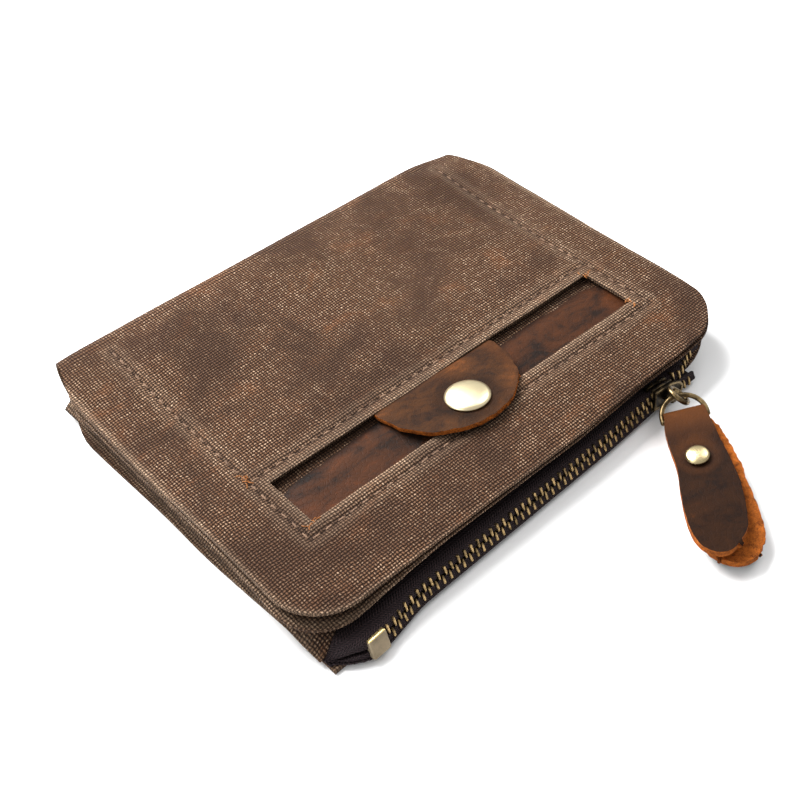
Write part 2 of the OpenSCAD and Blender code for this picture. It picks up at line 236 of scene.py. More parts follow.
def bump(wire, height, depth):
    """A normal that follows a height of 0 to 1, depth millimetres tall."""
    return wire.node("Bump", values={"Strength": 1.0, "Distance": depth * MM, "Height": height})


def kept(wire, name):
    """A number that the mesh keeps at each point, such as its wear."""
    return wire.node("Attribute", {"attribute_name": name}, output=2)


def both_ways(wire, at):
    """The first and the second number of a place."""
    return [wire.node("SeparateXYZ", values={0: at}, output=way) for way in (0, 1)]


print("noise is ready")

# %% [markdown]
# ## Waxed canvas
# The canvas is a plain weave of thick, uneven threads, 0.7 mm apart. The valleys between the threads are painted
# nearly black as shade. The tops of the threads carry pale specks that are partly dust and partly a painted highlight
# on the crests, and handling stains the cloth in broad brown and rust patches. The weave follows the cloth round its
# folds, so it reads a UV map in millimetres. Each warp thread is over at every other crossing, which two cosines in
# opposite step give.

# %% Canvas
THREAD = 0.7


def weave(wire, pitch):
    """The height of a plain weave from 0 to 1, and a number from 0 to 1 that belongs to each crossing."""
    flat = wire.node("UVMap", {"uv_map": "cloth"})
    bow = noise(wire, flat, 2.6, 3.0)
    across, along = both_ways(wire, flat)
    across = across * (1 / pitch) + bow * 1.1
    along = along * (1 / pitch) - bow * 1.1
    column = across.math("FLOOR", across)
    row = along.math("FLOOR", along)
    warp = across.math("ABSOLUTE", across.math("SINE", across * math.pi))
    weft = along.math("ABSOLUTE", along.math("SINE", along * math.pi))
    warp_over = across.math("COSINE", (along + column - 0.5) * math.pi) * 0.5 + 0.5
    weft_over = 0.5 - across.math("COSINE", (across + row - 0.5) * math.pi) * 0.5
    height = across.math("MAXIMUM", warp * warp_over, weft * weft_over)
    cell = wire.node("CombineXYZ", values={0: column, 1: row})
    crossing = wire.node("TexWhiteNoise", {"noise_dimensions": "2D"}, {"Vector": cell})
    warp_tone = wire.node("TexWhiteNoise", {"noise_dimensions": "1D"}, {"W": column})
    weft_tone = wire.node("TexWhiteNoise", {"noise_dimensions": "1D"}, {"W": row + 0.37})
    over = (warp * warp_over - weft * weft_over).between(-0.05, 0.05)
    thread_tone = weft_tone * (1 - over) + warp_tone * over
    return height, crossing, thread_tone


def canvas_finish(dark, mid, pale, rust, stain):
    """Makes a canvas from the colours of its valleys (painted shade), threads, pale specks (dust and painted
    highlight) and rust stains.
    """

    def make(wire):
        height, crossing, tone = weave(wire, THREAD)
        spot = place(wire)
        patch = noise(wire, spot, 17.0, 4.0, 0.6, 0.4)
        warm = noise(wire, stretched(wire, spot, (1.0, 1.4, 1.0)), 11.0, 5.0, 0.62, 0.6)
        shade = kept(wire, "soil")
        worn = kept(wire, "wear")
        # The valleys between the threads are painted nearly black as shade.
        thread = height.between(0.3, 0.85).mixed(dark, mid)
        thread = (warm.between(0.52, 0.75) * height * 0.7).mixed(thread, rust)
        # Pale specks on the thread tops: partly dust, partly a painted highlight on the crests.
        speck = crossing.between(0.15, 0.95) * height.between(0.62, 0.98) * (tone * 0.5 + 0.45)
        thin = noise(wire, spot, 1.7, 2.0).between(0.36, 0.62) * 0.75 + 0.4
        speck = speck * (0.75 + worn * 0.3) * patch.between(0.1, 0.6) * thin
        thread = speck.mixed(thread, pale)
        stained = (patch.between(0.6, 0.36) * stain).mixed(thread, tuple(c * 1.3 for c in dark))
        # Painted shade: where the mesh's mark is set, the canvas is darkened as shade.
        shaded = (shade * 0.85).mixed(stained, tuple(c * 0.3 for c in dark))
        bright = (worn * height * 0.3).mixed(shaded, pale)
        fuzz = noise(wire, spot, 0.25, 3.0)
        return {
            "Base Color": bright,
            "Roughness": 0.7 + crossing * 0.25,
            "Normal": bump(wire, height + fuzz * 0.3, 0.42),
        }

    return make


canvas = finish_of(
    "waxed_canvas",
    canvas_finish((0.02, 0.0095, 0.006), (0.13, 0.064, 0.032), (0.58, 0.42, 0.29), (0.18, 0.07, 0.027), 0.55),
    Specular_IOR_Level=0.12,
)
print("canvas thread, mm:", THREAD)

# %% [markdown]
# ## The outer canvas
# One cloth makes the cover, goes round the fold and becomes the bottom of the pouch. It could be three sheets that
# butt together, but then the fold would tear when the cover opens. So it is one grid: its back edge is spun round
# the hinge, the last edge is drawn forward as the bottom, and the whole is given its thickness and rounded rims.

# %% Measures from the model
def box_of(node):
    """The low and the high corner of a node's box, in millimetres."""
    return [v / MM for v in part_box(node)]


cover_low, cover_high = box_of("cover_canvas")
bottom_low, bottom_high = box_of("bottom_canvas")
spine_low, spine_high = box_of("spine_canvas")
seam_low, seam_high = box_of("window_stitching")
side_high = box_of("pocket_stitching")[1]
band_low, band_high = box_of("window_leather")
CANVAS = bottom_high.z - bottom_low.z
TOP = cover_high.z
FOLD_R = (spine_high.z - spine_low.z) / 2
HINGE_Y = spine_high.y - FOLD_R
WINDOW_RIM = 3.2
WINDOW = (seam_low.x + WINDOW_RIM, seam_low.y + WINDOW_RIM, seam_high.x - WINDOW_RIM, seam_high.y - WINDOW_RIM)
CORNER = 12.0
print("window, mm:", [round(v, 1) for v in WINDOW], "hinge y:", round(HINGE_Y, 2))

# %% Helpers for meshes
def clear_selection():
    if bpy.context.object and bpy.context.object.mode == "EDIT":
        bpy.ops.object.mode_set(mode="OBJECT")
    bpy.ops.object.select_all(action="DESELECT")


def select_only(piece):
    clear_selection()
    piece.select_set(True)
    bpy.context.view_layer.objects.active = piece


def edit_all():
    """Goes into edit mode with the whole mesh selected."""
    bpy.ops.object.mode_set(mode="EDIT")
    bpy.ops.mesh.select_all(action="SELECT")


def add_object(name, data):
    made = bpy.data.objects.new(name, data)
    bpy.context.scene.collection.objects.link(made)
    return made


def give_finish(material, *nodes):
    """Gives a finish to pieces that keep the model's own shape."""
    for node in nodes:
        materials = frame["nodes"][node].data.materials
        materials.clear()
        materials.append(material)


def points(piece):
    """The piece's vertices in millimetres, one row each."""
    co = np.zeros(len(piece.data.vertices) * 3)
    piece.data.vertices.foreach_get("co", co)
    return co.reshape(-1, 3) / MM


def move_points(piece, co):
    piece.data.vertices.foreach_set("co", (np.asarray(co) * MM).ravel())
    piece.data.update()


def mark(piece, name, values):
    """Keeps one number per vertex under a name that a finish can read."""
    layer = piece.data.attributes.get(name) or piece.data.attributes.new(name, "FLOAT", "POINT")
    layer.data.foreach_set("value", np.asarray(values, np.float32))


def sheet_of(name, low, high, columns, rows, z):
    """A flat grid between two corners, in millimetres."""
    clear_selection()
    bpy.ops.mesh.primitive_grid_add(x_subdivisions=columns, y_subdivisions=rows, size=1, location=(0, 0, 0))
    piece = bpy.context.object
    piece.name = name
    co = points(piece) * MM
    co[:, 0] = low[0] + (co[:, 0] + 0.5) * (high[0] - low[0])
    co[:, 1] = low[1] + (co[:, 1] + 0.5) * (high[1] - low[1])
    co[:, 2] = z
    move_points(piece, co)
    return piece


def select_where(piece, kind, test):
    """In edit mode, selects just the vertices, edges or faces whose middle passes the test, in millimetres."""
    bpy.ops.object.mode_set(mode="EDIT")
    bpy.ops.mesh.select_all(action="DESELECT")
    bpy.ops.mesh.select_mode(type=kind)
    bpy.ops.object.mode_set(mode="OBJECT")
    co = points(piece)
    parts = {"VERT": piece.data.vertices, "EDGE": piece.data.edges, "FACE": piece.data.polygons}[kind]
    for part in parts:
        middle = co[part.index] if kind == "VERT" else co[list(part.vertices)].mean(0)
        part.select = bool(test(middle))
    bpy.ops.object.mode_set(mode="EDIT")


def add_modifier(piece, kind, **settings):
    """Adds a modifier with its settings and applies it."""
    select_only(piece)
    modifier = piece.modifiers.new(kind.lower(), kind)
    for name, value in settings.items():
        setattr(modifier, name, value)
    bpy.ops.object.modifier_apply(modifier=modifier.name)


def smooth(piece, angle=40):
    select_only(piece)
    bpy.ops.object.shade_smooth_by_angle(angle=math.radians(angle))


RIM_ANGLE = math.radians(55)


def thicken_cloth(piece, thick, rim):
    """Gives a flat cloth its thickness and rounded rims, in millimetres."""
    add_modifier(piece, "SOLIDIFY", thickness=thick * MM, offset=0.0, use_even_offset=True)
    add_modifier(piece, "BEVEL", width=rim * MM, segments=3, limit_method="ANGLE", angle_limit=RIM_ANGLE)
    smooth(piece, 50)


def thicken_hide(piece, thick, rim):
    """Smooths a flat piece of leather and gives it its thickness and a slightly worn edge."""
    add_modifier(piece, "SUBSURF", levels=1, render_levels=1)
    add_modifier(piece, "SOLIDIFY", thickness=thick * MM, offset=0.0)
    add_modifier(piece, "BEVEL", width=rim * MM, segments=2, limit_method="ANGLE", angle_limit=RIM_ANGLE)


def lay_weave(piece, unfold=None):
    """Gives the cloth a UV map in millimetres. A rim reads on down its own side, so its threads keep their size."""
    co = points(piece)
    mesh = piece.data
    layer = mesh.uv_layers.get("cloth") or mesh.uv_layers.new(name="cloth")
    corners = np.zeros(len(mesh.loops), int)
    mesh.loops.foreach_get("vertex_index", corners)
    normals = np.zeros(len(mesh.polygons) * 3)
    mesh.polygons.foreach_get("normal", normals)
    sizes = np.zeros(len(mesh.polygons), int)
    mesh.polygons.foreach_get("loop_total", sizes)
    normals = np.repeat(normals.reshape(-1, 3), sizes, 0)
    flat = co if unfold is None else unfold(co)
    uv = flat[corners][:, :2].copy()
    depth = flat[corners][:, 2]
    side = np.abs(normals[:, 0]) > 0.75
    uv[side, 0] += depth[side]
    front = np.abs(normals[:, 1]) > 0.75
    front &= flat[corners][:, 1] < HINGE_Y - 1
    uv[front, 1] += depth[front]
    layer.data.foreach_set("uv", uv.ravel())


def ripple(co, size, height, seed=0.0):
    """Smooth random hills about that many millimetres across, up and down by that height."""
    return np.array([hills.noise(Vector((x / size, y / size, seed))) for x, y, _ in co]) * height


def step(x, low, high):
    t = np.clip((x - low) / (high - low), 0, 1)
    return t * t * (3 - 2 * t)


def dent(distance, width):
    """1 on a line and 0 away from it."""
    return np.exp(-((distance / width) ** 2))


print("mesh helpers are ready")

# %% Cover, fold and bottom in one grid
COVER_COLUMNS, COVER_ROWS = 180, 132
half = (cover_high.x - cover_low.x) / 2
mid_z = TOP - CANVAS / 2
outer = sheet_of(
    "outer_canvas", (-half, cover_low.y), (half, HINGE_Y), COVER_COLUMNS, COVER_ROWS, mid_z
)
co = points(outer)


def line_up(values, wanted):
    """Shifts grid lines a little, so that one lies on each wanted line."""
    lines = np.unique(values.round(6))
    nearest = [lines[np.abs(lines - w).argmin()] for w in wanted]
    keys = [lines[0], *nearest, lines[-1]]
    return np.interp(values, keys, [lines[0], *wanted, lines[-1]])


co[:, 0] = line_up(co[:, 0], (WINDOW[0], WINDOW[2]))
co[:, 1] = line_up(co[:, 1], (WINDOW[1], WINDOW[3]))
move_points(outer, co)
select_where(
    outer, "FACE", lambda m: WINDOW[0] < m[0] < WINDOW[2] and WINDOW[1] < m[1] < WINDOW[3]
)
bpy.ops.mesh.delete(type="FACE")
FOLD_STEPS = 18
select_where(outer, "EDGE", lambda m: m[1] > HINGE_Y - 1e-4)
bpy.ops.mesh.spin(
    steps=FOLD_STEPS, angle=math.pi, center=(0, HINGE_Y * MM, TOP / 2 * MM), axis=(1, 0, 0)
)
bpy.ops.object.mode_set(mode="OBJECT")
print("after the spin, z from", points(outer)[:, 2].min().round(2))

# %% [markdown]
# The bottom is the same cloth drawn forward from the end of the fold, and it is a little wider and longer than the
# cover and skewed with the zip. The corners of a square grid become round when each corner square is squeezed onto
# a quarter disc, which keeps whole rows of threads.

# %% Draw the bottom forward and shape the outline
BOTTOM_STEPS = 34
POUCH_CORNER = 14.0
SKEW_ANGLE = math.radians(2)
SKEW = math.tan(SKEW_ANGLE)
lowest = CANVAS / 2
select_where(outer, "EDGE", lambda m: m[2] < lowest + 1e-3 and abs(m[1] - HINGE_Y) < 1e-3)
for i in range(BOTTOM_STEPS):
    reach = (bottom_low.y - HINGE_Y) / BOTTOM_STEPS
    bpy.ops.mesh.extrude_region_move(TRANSFORM_OT_translate={"value": (0, reach * MM, 0)})
bpy.ops.object.mode_set(mode="OBJECT")


def round_corner(co, middle, sign, radius):
    """Squeezes the square outside that middle onto a quarter disc."""
    u = (co[:, 0] - middle[0]) * sign[0] / radius
    v = (co[:, 1] - middle[1]) * sign[1] / radius
    inside = (u > 0) & (v > 0)
    u, v = u[inside], v[inside]
    co[inside, 0] = middle[0] + sign[0] * radius * u * np.sqrt(1 - v * v / 2)
    co[inside, 1] = middle[1] + sign[1] * radius * v * np.sqrt(1 - u * u / 2)


def narrowed(y):
    """How wide the cloth is as it nears the fold, as a share of its full width."""
    return 1 - step(y, HINGE_Y - 11, HINGE_Y + 4) * (half - spine_high.x) / half


def cover_plan(co):
    """The cover's outline: two round front corners and sides that draw in towards the fold."""
    for side in (-1, 1):
        round_corner(co, (side * (half - CORNER), cover_low.y + CORNER), (side, -1), CORNER)
    co[:, 0] *= narrowed(co[:, 1])
    near_front = step(-co[:, 1], 20, -cover_low.y)
    bow = 0.5 * np.cos(co[:, 0] / half * math.pi / 2) * near_front
    co[:, 1] += bow + (0.5 + 1.5 * step(co[:, 0], 5, 40)) * near_front
    turned = step(co[:, 0], 40, 62) * step(-co[:, 1], -cover_low.y - 24, -cover_low.y - 2)
    co[:, 0] -= 1.4 * turned
    co[:, 1] += 1.8 * turned
    waist = np.sin(co[:, 1] / 17.0) * 0.35 * np.abs(co[:, 0] / half) ** 6
    co[:, 0] += waist * np.sign(co[:, 0])


def bottom_plan(co):
    """The bottom's outline: a skewed front edge that follows the zip."""
    share = (HINGE_Y - co[:, 1]) / (HINGE_Y - bottom_low.y)
    share = np.clip(share, 0, 1)
    front = bottom_low.y + (co[:, 0] + half) * SKEW + 1.6 * step(co[:, 0], 14, 36) + 1.3
    co[:, 1] = HINGE_Y + (front - HINGE_Y) * share
    widen = step(share, -0.06, 0.14)
    mid_x = (bottom_low.x + bottom_high.x) / 2
    wide = spine_high.x + ((bottom_high.x - bottom_low.x) / 2 - spine_high.x) * widen
    co[:, 0] = co[:, 0] / half * wide + mid_x * widen
    left_side = step(-co[:, 0], 40, 60)
    co[:, 0] += left_side * (2.0 * step(share, 0.55, 1.0) - 1.7 * widen * (1 - 0.6 * step(share, 0.1, 0.5)))
    co[:, 1] -= 1.4 * step(-co[:, 0], 44, 58) * step(share, 0.7, 1.0)
    corner_y = bottom_low.y + 2 * half * SKEW
    round_corner(co, (bottom_high.x - POUCH_CORNER, corner_y + POUCH_CORNER), (1, -1), POUCH_CORNER)


co = points(outer)
is_cover = co[:, 2] > TOP / 2
is_bottom = (co[:, 2] < lowest + 0.02) & (co[:, 1] < HINGE_Y + 1e-3)
is_fold = co[:, 1] > HINGE_Y - 1e-3
flat_cover = co[is_cover & ~is_fold].copy()
cover_plan(flat_cover)
co[is_cover & ~is_fold] = flat_cover
fold_part = co[is_fold].copy()
fold_part[:, 0] *= narrowed(fold_part[:, 1])
co[is_fold & ~is_bottom] = fold_part[~is_bottom[is_fold]]
flat_bottom = co[is_bottom].copy()
bottom_plan(flat_bottom)
co[is_bottom] = flat_bottom
print("grid so far:", len(co), "points")

# %% [markdown]
# A real cover isn't a board. It dips where the stitches pull it down, swells a little over the pocket between them,
# droops towards its rim, and keeps a few slow waves from handling.

# %% Relief of the cover
SEAM_L, SEAM_R, SEAM_F, SEAM_B = seam_low.x + 0.25, seam_high.x - 0.25, seam_low.y + 0.25, seam_high.y - 0.25
STITCH_BACK = side_high.y


def seam_distance(x, y):
    """How far a point of the cover is from the nearest row of stitches."""
    between_x = np.maximum(np.maximum(SEAM_L - x, x - SEAM_R), 0)
    between_y = np.maximum(np.maximum(SEAM_F - y, y - SEAM_B), 0)
    rows = [np.hypot(y - SEAM_F, between_x), np.hypot(y - SEAM_B, between_x)]
    rows += [np.hypot(x - SEAM_L, between_y), np.hypot(x - SEAM_R, between_y)]
    behind = np.maximum(np.maximum(SEAM_B - y, y - STITCH_BACK), 0)
    rows += [np.hypot(x - SEAM_L, behind), np.hypot(x - SEAM_R, behind)]
    return np.minimum.reduce(rows)


def window_distance(x, y):
    return np.hypot(
        np.maximum(np.maximum(WINDOW[0] - x, x - WINDOW[2]), 0),
        np.maximum(np.maximum(WINDOW[1] - y, y - WINDOW[3]), 0),
    )


def rim_distance(x, y):
    """How far a point of the cover is from its rim at the front and sides."""
    to_side = half - np.abs(x)
    to_front = y - cover_low.y
    corner = CORNER - np.hypot(np.abs(x) - (half - CORNER), y - (cover_low.y + CORNER))
    in_corner = (np.abs(x) > half - CORNER) & (y < cover_low.y + CORNER)
    return np.where(in_corner, corner, np.minimum(to_side, to_front))


def cover_relief(co):
    """How far the cover's cloth stands above or below flat, in millimetres."""
    x, y = co[:, 0], co[:, 1]
    seam = seam_distance(x, y)
    hem = rim_distance(x, y)
    rise = -0.28 * dent(seam, 0.75) + 0.12 * dent(seam - 1.8, 1.2)
    rise += 0.16 * dent(window_distance(x, y) - 0.6, 1.1)
    pocket = step(x - SEAM_L, 0, 9) * step(SEAM_R - x, 0, 9) * step(y - SEAM_B, 0, 9)
    rise += 0.32 * pocket * step(HINGE_Y - y, -4, 10)
    rise -= 0.12 * (1 - step(hem, 0, 5))
    rise += 0.2 * dent(hem - 4.2, 1.4)
    rise += ripple(co, 22.0, 0.42, 3.1) + ripple(co, 9.0, 0.16, 7.7) + ripple(co, 3.2, 0.05, 1.3)
    rise += 0.55 * dent(np.hypot(x - 52, y - 40), 9.0)
    rise -= 0.35 * dent(np.hypot(x + 60, y - 40), 10.0)
    return rise


def fold_puff(co):
    """The folded cloth is springy, so the cover rises towards the fold, most of all at its left end."""
    rise = step(co[:, 1], HINGE_Y - 34, HINGE_Y + 2) * step(co[:, 2], 2.0, TOP)
    return rise * (2.0 - 0.5 * dent(co[:, 0] + 62, 5.0)) * (1 - 0.75 * step(co[:, 0], 45, 62))


co[is_cover & ~is_fold, 2] += cover_relief(co[is_cover & ~is_fold]) * step(
    HINGE_Y - co[is_cover & ~is_fold, 1], -1, 6
)
fold_wave = ripple(co, 16.0, 0.35, 5.5) + ripple(co, 5.0, 0.12, 9.5)
turn = np.arctan2(co[:, 2] - TOP / 2, co[:, 1] - HINGE_Y)
swell = np.where(is_fold, fold_wave * np.clip(np.cos(turn), 0, 1), 0)
co[:, 1] += swell * np.cos(turn)
spring = 1.3 * step(co[:, 2], 2.0, TOP) * step(co[:, 1], HINGE_Y - 12, HINGE_Y + 2)
co[:, 1] += spring * (1 - 0.75 * step(co[:, 0], 45, 62))
co[:, 2] += fold_puff(co)
move_points(outer, co)
thicken_cloth(outer, CANVAS, 0.36)
co = points(outer)
print("outer canvas:", len(outer.data.polygons), "faces, box mm", co.min(0).round(2), co.max(0).round(2))

# %% Cloth map, wear and painted shade of the outer canvas
def round_the_fold(co):
    """Lays the folded cloth out flat: x stays, and the second number runs on round the fold."""
    turn = np.arctan2(co[:, 2] - TOP / 2, np.maximum(co[:, 1] - HINGE_Y, 0.0))
    radius = FOLD_R
    flat = co.copy()
    on_fold = co[:, 1] > HINGE_Y
    under = ~on_fold & (co[:, 2] < TOP / 2)
    flat[on_fold, 1] = HINGE_Y + (math.pi / 2 - turn[on_fold]) * radius
    flat[under, 1] = 2 * HINGE_Y + math.pi * radius - co[under, 1]
    return flat


def cover_marks(piece):
    """Paints shade into the stitch rows, where the cloth dips, and wears the rim and the window's lips."""
    co = points(piece)
    x, y = co[:, 0], co[:, 1]
    on_top = co[:, 2] > TOP / 2
    hem = np.where(on_top, rim_distance(x, y), np.minimum(61.5 - np.abs(x), y - bottom_low.y))
    lips = np.where(on_top, window_distance(x, y), 99.0)
    seam = np.where(on_top, seam_distance(x, y), 99.0)
    mark(piece, "wear", np.clip(dent(hem - 0.2, 0.8) + 0.8 * dent(lips, 0.9) + 0.35 * dent(seam - 1.4, 1.0), 0, 1))
    # Painted shade in the grooves of the stitch rows.
    mark(piece, "soil", np.clip(0.75 * dent(seam, 0.35), 0, 1))


lay_weave(outer, round_the_fold)
cover_marks(outer)
outer.data.materials.clear()
outer.data.materials.append(canvas)
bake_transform(outer)
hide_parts("cover_canvas", "spine_canvas", "bottom_canvas")
print("outer canvas is one sheet from the cover to the bottom")

# %% [markdown]
# ## The cover's second layer
# Under the outer cloth lies the cover's own lining, a second canvas with the same outline. Its folded rim shows as a
# second bright edge below a dark groove, and at the front left corner it hangs away from the first.

# %% Second canvas of the cover
UNDER_Z = box_of("cover_lining")[1].z - 0.52
under = sheet_of("cover_lining_canvas", (-half, cover_low.y), (half, HINGE_Y - 0.4), 110, 80, UNDER_Z)
co = points(under)
cover_plan(co)
corner_drop = dent(np.hypot(co[:, 0] + 57, co[:, 1] + 45), 17.0)
co[:, 0] -= 1.0 * corner_drop
co[:, 1] -= 1.1 * corner_drop
co[:, 2] -= 1.25 * corner_drop
right_drop = dent(np.hypot(co[:, 0] - 55, co[:, 1] + 46), 16.0)
co[:, 1] -= 0.45 * right_drop
co[:, 2] += 0.06 - 0.5 * (1 - step(rim_distance(co[:, 0], co[:, 1]), -1, 4)) + ripple(co, 14.0, 0.14, 4.4)
co[:, 0] += np.sign(co[:, 0]) * 0.22 * step(np.abs(co[:, 0]), half - 8, half)
inner = step(rim_distance(co[:, 0], co[:, 1]), 4.5, 7.0)
co[:, 2] -= 0.28 * inner
move_points(under, co)
thicken_cloth(under, 0.72, 0.34)
lay_weave(under)
co = points(under)
hem = rim_distance(co[:, 0], co[:, 1])
mark(under, "wear", np.clip(dent(hem - 0.1, 0.9), 0, 1))
# Painted shade: the lining is darker inside its rim, where it lies under the outer cloth.
mark(under, "soil", 0.35 * step(hem, 1.0, 3.0))
under.data.materials.append(canvas)
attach(under, "cover")
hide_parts("cover_lining")
print("second canvas:", len(under.data.polygons), "faces")

# %% [markdown]
# ## The pouch's upper wall
# The coin pouch is a pillow of two cloths. The upper one is sewn to the bottom at the sides and the back, and its
# front edge is folded and sewn to the zip. Its sides droop towards the table, and at the
# left corner it comes forward to just behind the end of the zip.

# %% Upper wall of the pouch
ZIP_Y = bottom_low.y + half * SKEW - 0.9
ZIP_Z = 3.6
WALL_LEFT, WALL_RIGHT = -61.3, 60.9
WALL_BEHIND_ZIP = 8.6
wall = sheet_of("pouch_upper_wall", (WALL_LEFT, -1.0), (WALL_RIGHT, 1.0), 120, 70, 0.0)
co = points(wall)
x = co[:, 0]
share = np.clip((co[:, 1] + 1) / 2, 0, 1)
line = ZIP_Y + x * SKEW
front = line + WALL_BEHIND_ZIP - 4.6 * (1 - step(x, -61, -49)) + 8.0 * step(x, 47, 62)
front -= 0.9 * dent(x + 50, 6.0)
co[:, 1] = front + (HINGE_Y - 0.5 - front) * share ** 1.25
wall_mid = box_of("top_canvas")[1].z - CANVAS / 2
z = np.full(len(co), wall_mid)
sides = np.abs(x - (-0.2)) - 52.5
z -= 4.1 * np.clip(sides / 8.7, 0, 1) ** 2.2
to_corner = (1 - step(x, -61, -48)) * (1 - step(co[:, 1] - front, 0, 9))
z -= 0.8 * to_corner
z -= 0.25 * (1 - step(co[:, 1] - front, 0, 2.5))
z += ripple(co, 13.0, 0.16, 8.8)
co[:, 2] = np.clip(z, 1.36, wall_mid + 0.05)
rear = step(co[:, 1], 30, 42) * step(-x, 50, 61)
co[:, 0] -= 0.7 * rear
move_points(wall, co)
thicken_cloth(wall, CANVAS, 0.36)
lay_weave(wall)
co = points(wall)
edge = np.minimum(np.abs(co[:, 0] - WALL_LEFT), np.abs(WALL_RIGHT - co[:, 0]))
from_front = co[:, 1] - (ZIP_Y + co[:, 0] * SKEW + WALL_BEHIND_ZIP)
mark(wall, "wear", 0.6 * dent(edge, 0.9) + 0.5 * dent(from_front, 0.6))
# Painted shade: the whole upper wall is darkened, as it lies under the cover.
mark(wall, "soil", np.full(len(co), 0.3))
wall.data.materials.append(canvas)
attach(wall, "pouch")
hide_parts("top_canvas", "side_seam_left", "side_seam_right", "back_seam")
print("upper wall box, mm:", co.min(0).round(1), co.max(0).round(1))

# %% [markdown]
# ## The zip
# A metal zip is two woven tapes with a row of bent brass teeth on each. The whole chain leans forward and stands
# about a millimetre behind the model's. Near the bottom stop it bows to the front and back again. Everything on the
# zip is made along a straight chain first and then put on this line.

# %% Where the chain runs
ZIP_LEAN = math.radians(66)
stop_low, stop_high = box_of("bottom_stop")
PITCH = 1.84
CLOSED_END = 42.0
TAPE_REST = 1.2


def put_on_zip(co):
    """Takes points along the chain, across its face and out of its face to their place on the pouch."""
    u, v, w = co[:, 0], co[:, 1], co[:, 2]
    y = v * math.cos(ZIP_LEAN) - w * math.sin(ZIP_LEAN)
    z = v * math.sin(ZIP_LEAN) + w * math.cos(ZIP_LEAN)
    return put_beside_zip(np.column_stack([u, y, z]))


def parted(u, side):
    """How far beyond the slider a tape's edge moves back and up, in millimetres."""
    beyond = step(u, CLOSED_END - 1, CLOSED_END + 9)
    return (3.0 * beyond, -0.4 * beyond) if side > 0 else (-0.3 * beyond, -0.5 * beyond)


def put_beside_zip(co):
    """Takes points along the chain, level behind it and up from its middle line to their place on the pouch."""
    u, y, z = co[:, 0], co[:, 1], co[:, 2]
    bow = 0.9 - 2.0 * step(-u, 37, 52) + 3.0 * step(-u, 53, 60) + 0.6 * step(u, 14, 36)
    sag = -0.7 * step(-u, 40, 56) - 0.3
    y = y + bow
    cos, sin = math.cos(SKEW_ANGLE), math.sin(SKEW_ANGLE)
    out = np.column_stack([u * cos - y * sin, u * sin + y * cos, z])
    return out + np.array([0, 0, ZIP_Z]) + np.column_stack([0 * u, ZIP_Y + 0 * u, sag])


print("zip line y, mm:", round(ZIP_Y, 2))

# %% Zip tape finish
def tape_finish(wire):
    flat = wire.node("UVMap", {"uv_map": "cloth"})
    along, across = both_ways(wire, flat)
    rib = across.math("PINGPONG", across, 1.25)
    twill = across.math("SINE", (along + rib) * (2 * math.pi / 0.62)) * 0.5 + 0.5
    cross = across.math("SINE", across * (2 * math.pi / 0.5)) * 0.5 + 0.5
    spot = place(wire)
    dust = noise(wire, spot, 1.1, 4.0, 0.7)
    base = (twill * 0.7 + cross * 0.3).mixed((0.006, 0.004, 0.005), (0.034, 0.02, 0.022))
    fleck = (dust.between(0.55, 0.8) * twill * 0.5).mixed(base, (0.13, 0.085, 0.08))
    return {"Base Color": fleck, "Normal": bump(wire, twill * 0.6 + cross * 0.4, 0.25)}


tape_cloth = finish_of("zip_tape", tape_finish, Roughness=0.85, Specular_IOR_Level=0.2)


def tape_of(name, profile, left, right, side):
    """A tape that follows a profile of points behind and above the chain's middle line."""
    piece = sheet_of(name, (left, 0), (right, len(profile) - 1), 150, 24, 0.0)
    co = points(piece)
    u, s = co[:, 0].copy(), co[:, 1].copy()
    run = np.arange(len(profile))
    y = np.interp(s, run, [p[0] for p in profile])
    z = np.interp(s, run, [p[1] for p in profile])
    back, rise = parted(u, side)
    y += back
    z += rise
    floor = TAPE_REST - ZIP_Z
    z = floor + (z - floor) * np.sqrt(step(u, left, left + 4.5))
    y += 1.5 * (1 - step(u, left, left + 3))
    z += 0.12 * np.sin(u / 1.3) * step(-u, 49, 54)
    co = put_beside_zip(np.column_stack([u, y, z]))
    co[:, 2] = np.maximum(co[:, 2], TAPE_REST)
    move_points(piece, co)
    add_modifier(piece, "SUBSURF", levels=1, render_levels=1)
    add_modifier(piece, "SOLIDIFY", thickness=0.5 * MM, offset=0.0)
    smooth(piece, 60)
    return piece


def lay_tape(piece):
    """The tape's own map: along the zip, and the way across it."""
    def unroll(co):
        y = co[:, 1] - (ZIP_Y + co[:, 0] * SKEW)
        return np.column_stack([co[:, 0], y * 0.8 + co[:, 2] * 0.9, 0 * y])
    lay_weave(piece, unroll)


upper_profile = [
    (0.16, 0.35), (0.4, 0.9), (0.64, 1.4), (1.25, 1.75), (2.3, 1.7), (3.6, 1.45), (5.2, 1.12), (9.5, 1.1),
]
lower_profile = [
    (-0.16, -0.35), (-0.42, -0.95), (-0.8, -1.75), (-1.15, -2.15),
    (-0.9, -2.3), (0.6, -2.3), (3.5, -2.25), (7.0, -2.2),
]
tapes = (
    ("upper_tape", upper_profile, "tape_upper", 53.0, 1),
    ("lower_tape", lower_profile, "tape_lower", 46.6, -1),
)
for name, profile, node, right_end, side in tapes:
    piece = tape_of(name, profile, -60.4, right_end, side)
    lay_tape(piece)
    piece.data.materials.append(tape_cloth)
    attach(piece, "pouch")
    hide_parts(node)
    print(name, "mm:", points(piece).min(0).round(1), points(piece).max(0).round(1))

# %% [markdown]
# ## Brass
# Nothing here is bright new brass. The teeth are antique: nearly black in the gaps, and ochre on their tops, which
# is partly rubbed brass and partly a painted highlight. The caps of the snap and the rivet are pale gold with a soft
# satin shine. A metal keeps its colour in its reflections, so the tarnish changes colour and roughness together.

